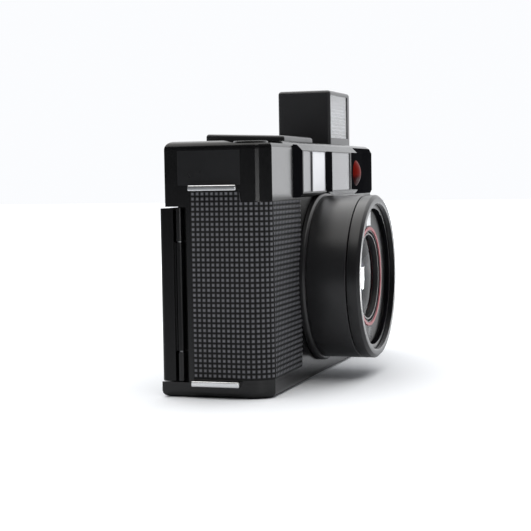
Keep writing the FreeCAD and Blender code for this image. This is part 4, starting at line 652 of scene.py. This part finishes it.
barrel_satin = turned_build((0.0150, 0.0150, 0.0162), (0.0190, 0.0190, 0.0205), 0.26)
barrel_finish = material("barrel_satin", barrel_satin)
barrel_radius, barrel_inner = 0.0266, 0.0242
flange_radius, flange_front = 0.0277, -0.0191
flange = mesh_piece("lens_flange_ring", "lens_flange", barrel_finish)
spun(flange, [(barrel_inner, flange_front), (0.0271, flange_front), (flange_radius, -0.0185),
              (flange_radius, front_y), (barrel_inner, front_y)], axis, rounding=0.00025)
barrel = mesh_piece("lens_barrel_shell", "lens_barrel", barrel_finish)
spun(barrel, [(0.01427, -0.0322), (0.01557, -0.0322), (0.01557, -0.0207), (barrel_inner, -0.0207),
              (barrel_inner, -0.0331), (0.0250, -0.0331), (0.0250, -0.0319), (barrel_radius, -0.0319),
              (barrel_radius, flange_front), (barrel_inner, flange_front), (barrel_inner, front_y),
              (0.01427, front_y)],
     axis, rounding=0.0003)

# The film speed ring: turns on the front of the barrel. Its nose is bevelled, and the filter thread is cut
# inside it.
ring_finish = material("ring_satin", turned_build((0.009, 0.009, 0.010), (0.014, 0.014, 0.015), 0.24))
thread_turns = 4
thread_radius, thread_deep, thread_start, thread_long = 0.0240, 0.00022, -0.0348, 0.0015
thread = [(thread_radius - thread_deep * (k % 2), thread_start - thread_long * k / (2 * thread_turns))
          for k in range(2 * thread_turns + 1)]
speed_ring = mesh_piece("film_speed_ring_shell", "film_speed_ring", ring_finish)
spun(speed_ring, thread + [(0.0257, -0.0363), (barrel_radius, -0.0354), (barrel_radius, -0.0322),
                           (0.02506, -0.0322), (0.02506, -0.0334), (0.0222, -0.0334),
                           (0.0222, thread_start)],
     axis, rounding=0.00012)


def inside_the_nose(spot, way):
    """True for the ring's inner wall, which looks towards the lens axis."""
    return (spot.y > -0.03625 and way.dot(spot - Vector(axis)) < 0.0
            and math.hypot(spot.x - axis[0], spot.z - axis[2]) < 0.0243)


split_finish(speed_ring, (), flock, inside_the_nose)

# The name ring: a thin satin plate round the glass, bare here, with a red line at its inner edge
# and two small panes, white above and dark below.
name_finish = material("name_ring", turned_build((0.013, 0.013, 0.014), (0.018, 0.018, 0.019), 0.40),
                       Specular_IOR_Level=0.30)
red_finish = material("red_line", coated((0.30, 0.030, 0.045), (0.36, 0.045, 0.060), 0.40))
plate = eased("name_ring", name_finish, 0.00006)
plate.data.materials.append(red_finish)
corners = np.array([tuple(v.co) for v in plate.data.vertices])
reach = np.hypot(corners[:, 0] - axis[0], corners[:, 2] - axis[2])
on_the_line = (corners[:, 1] < -0.03309) & (reach > 0.0150) & (reach < 0.0164)
for face in plate.data.polygons:
    if on_the_line[list(face.vertices)].all():
        face.material_index = 1


def ring_pane_build(shader, place):
    x, y, z = shader.parts(place)
    return {"Base Color": shader.mixed(z.between(0.03, 0.04), (0.004, 0.004, 0.005), (0.86, 0.87, 0.88)),
            "Roughness": 0.22 + 0.08 * shader.noise(place, 500.0)}


paint_node(material("ring_panes", ring_pane_build), "ring_windows")

# The lens cell and its glass. The cell is a black tube with the front element held at its nose.
# The glass is tinted by its coating.
cell_finish = material("cell_black", turned_build((0.020, 0.020, 0.022), (0.026, 0.026, 0.028), 0.35))
cell = mesh_piece("focus_cell_tube", "focus_cell", cell_finish)
glass_radius, glass_front, glass_back = 0.0136, -0.03289, -0.02869
spun(cell, [(glass_radius, glass_front), (0.0142, glass_front), (0.0142, -0.0162), (0.0080, -0.0162),
            (0.0080, -0.02155), (0.0090, -0.02155), (0.0090, -0.02455), (0.0112, -0.02455),
            (0.0112, glass_back), (glass_radius, glass_back)], axis, rounding=0.0001)


def glass_build(shader, place):
    film = shader.noise(place, 40.0)
    return {"Base Color": shader.mixed(film, (0.34, 0.36, 0.42), (0.42, 0.38, 0.46)),
            "Roughness": 0.02 + 0.02 * film}


glass = material("coated_glass", glass_build, Transmission_Weight=1.0, IOR=1.10)
front_glass = mesh_piece("front_element", "front_lens", glass)
spun(front_glass, arc_profile(glass_radius, -0.03169, glass_front, 32)
     + [(glass_radius, glass_back), (0.0, glass_back)], axis)
paint_node(glass, "inner_lenses", "finder_lenses")

# Strap lugs: polished bars through the grip end, each with rounded edges that catch a bright
# line.
eased("strap_lugs", bright_metal, 0.00035, segments=3)


# Steel, brass and alloy inside the case, each with its own fine grain. The plastic parts inside
# share one dull finish, and the small controls outside are painted like the case.
def metal_build(colour, shade, roughness):
    def build(shader, place):
        grain = shader.noise(place, 1200.0)
        return {"Base Color": shader.mixed(grain, colour, shade), "Roughness": roughness + 0.12 * grain,
                "Metallic": 1.0}
    return build


steel = material("steel", metal_build((0.46, 0.46, 0.47), (0.60, 0.60, 0.61), 0.24))
brass = material("brass", metal_build((0.60, 0.44, 0.18), (0.72, 0.55, 0.26), 0.22))
alloy = material("alloy", metal_build((0.30, 0.30, 0.31), (0.40, 0.40, 0.41), 0.42))
paint_node(steel, "door_hinge_pin", "tripod_bush", "base_screws", "battery_bridge", "drive_motor",
           "pressure_plate", "pressure_spring")
blade_black = material("blade_black", metal_build((0.012, 0.012, 0.013), (0.020, 0.020, 0.021), 0.38))
paint_node(blade_black, "shutter_blade_left", "shutter_blade_right")
paint_node(brass, "spool_gear", "motor_pinion")
paint_node(alloy, "rangefinder_module")
paint_node(dull_plastic, "finder_tunnel", "chassis", "battery_box", "shutter_housing", "take_up_spool",
           "sprocket_shaft", "rewind_fork", "release_switch", "frame_counter_dial", "flash_capacitor")
small_edge = 0.00025
eased("eyepiece", dull_plastic, small_edge)
for control in ("self_timer_switch", "flash_switch", "rewind_switch", "door_latch", "battery_door"):
    eased(control, case_paint, small_edge)


# The circuit board: green, with paler specks. They come from coarse noise cut off sharply, so
# they stay few and small.
def board_build(shader, place):
    speck = shader.noise(place, 260.0, 1.0)
    return {"Base Color": shader.mixed(speck.between(0.52, 0.55), (0.01, 0.10, 0.035), (0.02, 0.16, 0.06)),
            "Roughness": 0.35 + 0.2 * speck}


paint_node(material("board", board_build), "circuit_board")


# Springs: wound from thin steel wire. Two are squashed by the piece that they push back, and two
# press on the cells.
def coiled(piece, centre, span, radii, wire, turns):
    """A round wire along a helix: the centre line turns and climbs evenly, with flat ends, and the
    radius goes evenly from the first to the second of radii. The wire closes to a point at both
    ends."""
    t = np.linspace(0.0, 1.0, int(turns * 28))
    climb = np.clip((t * turns - 0.8) / (turns - 1.6), 0.0, 1.0)
    z = span[0] + wire + (span[1] - span[0] - 2 * wire) * climb
    radius = radii[0] + (radii[1] - radii[0]) * climb
    angle = 2 * math.pi * turns * t
    line = np.stack([centre[0] + radius * np.cos(angle), centre[1] + radius * np.sin(angle), z], -1)
    ahead = np.gradient(line, axis=0)
    ahead /= np.linalg.norm(ahead, axis=1, keepdims=True)
    out = np.stack([np.cos(angle), np.sin(angle), 0 * angle], -1)
    out -= ahead * np.sum(out * ahead, axis=1, keepdims=True)
    out /= np.linalg.norm(out, axis=1, keepdims=True)
    side = np.cross(ahead, out)
    ring = np.linspace(0.0, 2 * math.pi, 8, endpoint=False)
    thick = np.where((t > 0.0) & (t < 1.0), wire, 0.0)[:, None, None]
    points = (line[:, None] + thick * (np.cos(ring)[None, :, None] * out[:, None]
                                       + np.sin(ring)[None, :, None] * side[:, None]))
    faces = grid_faces(len(t), 8, False, True)
    fill_mesh(piece, points, faces, 60.0)


head_spring = mesh_piece("flash_coil", "flash_spring", steel)
coiled(head_spring, (0.0462, 0.0057), (0.0572, 0.0906), (0.0019, 0.0019), 0.0003, 14)
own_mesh(head_spring)
release_spring = mesh_piece("button_coil", "button_spring", steel)
coiled(release_spring, (-0.0545, -0.0085), (0.0674, 0.0735), (0.0022, 0.0022), 0.00025, 5)
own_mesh(release_spring)
for index, place_y in enumerate((-0.0081, 0.0066)):
    cell_spring = mesh_piece("cell_coil_" + str(index), "battery_springs", steel)
    coiled(cell_spring, (-0.055, place_y), (0.0524, 0.0540), (0.0020, 0.0042), 0.00025, 4)

# The shutter button: a turned cap with a shallow hollow for the fingertip. Its stem goes down
# through the spring.
button = mesh_piece("shutter_button_cap", "shutter_button", case_paint)
spun(button, [(0.0, 0.0634), (0.0015, 0.0634), (0.0015, 0.0735), (0.0058, 0.0735), (0.0058, 0.0744),
              (0.0052, 0.0744), (0.0052, 0.0762), (0.0040, 0.0762), (0.0030, 0.0760),
              (0.0015, 0.07585), (0.0, 0.0758)],
     (-0.0545, -0.0085, 0.0), "Z", 96, 0.0003)
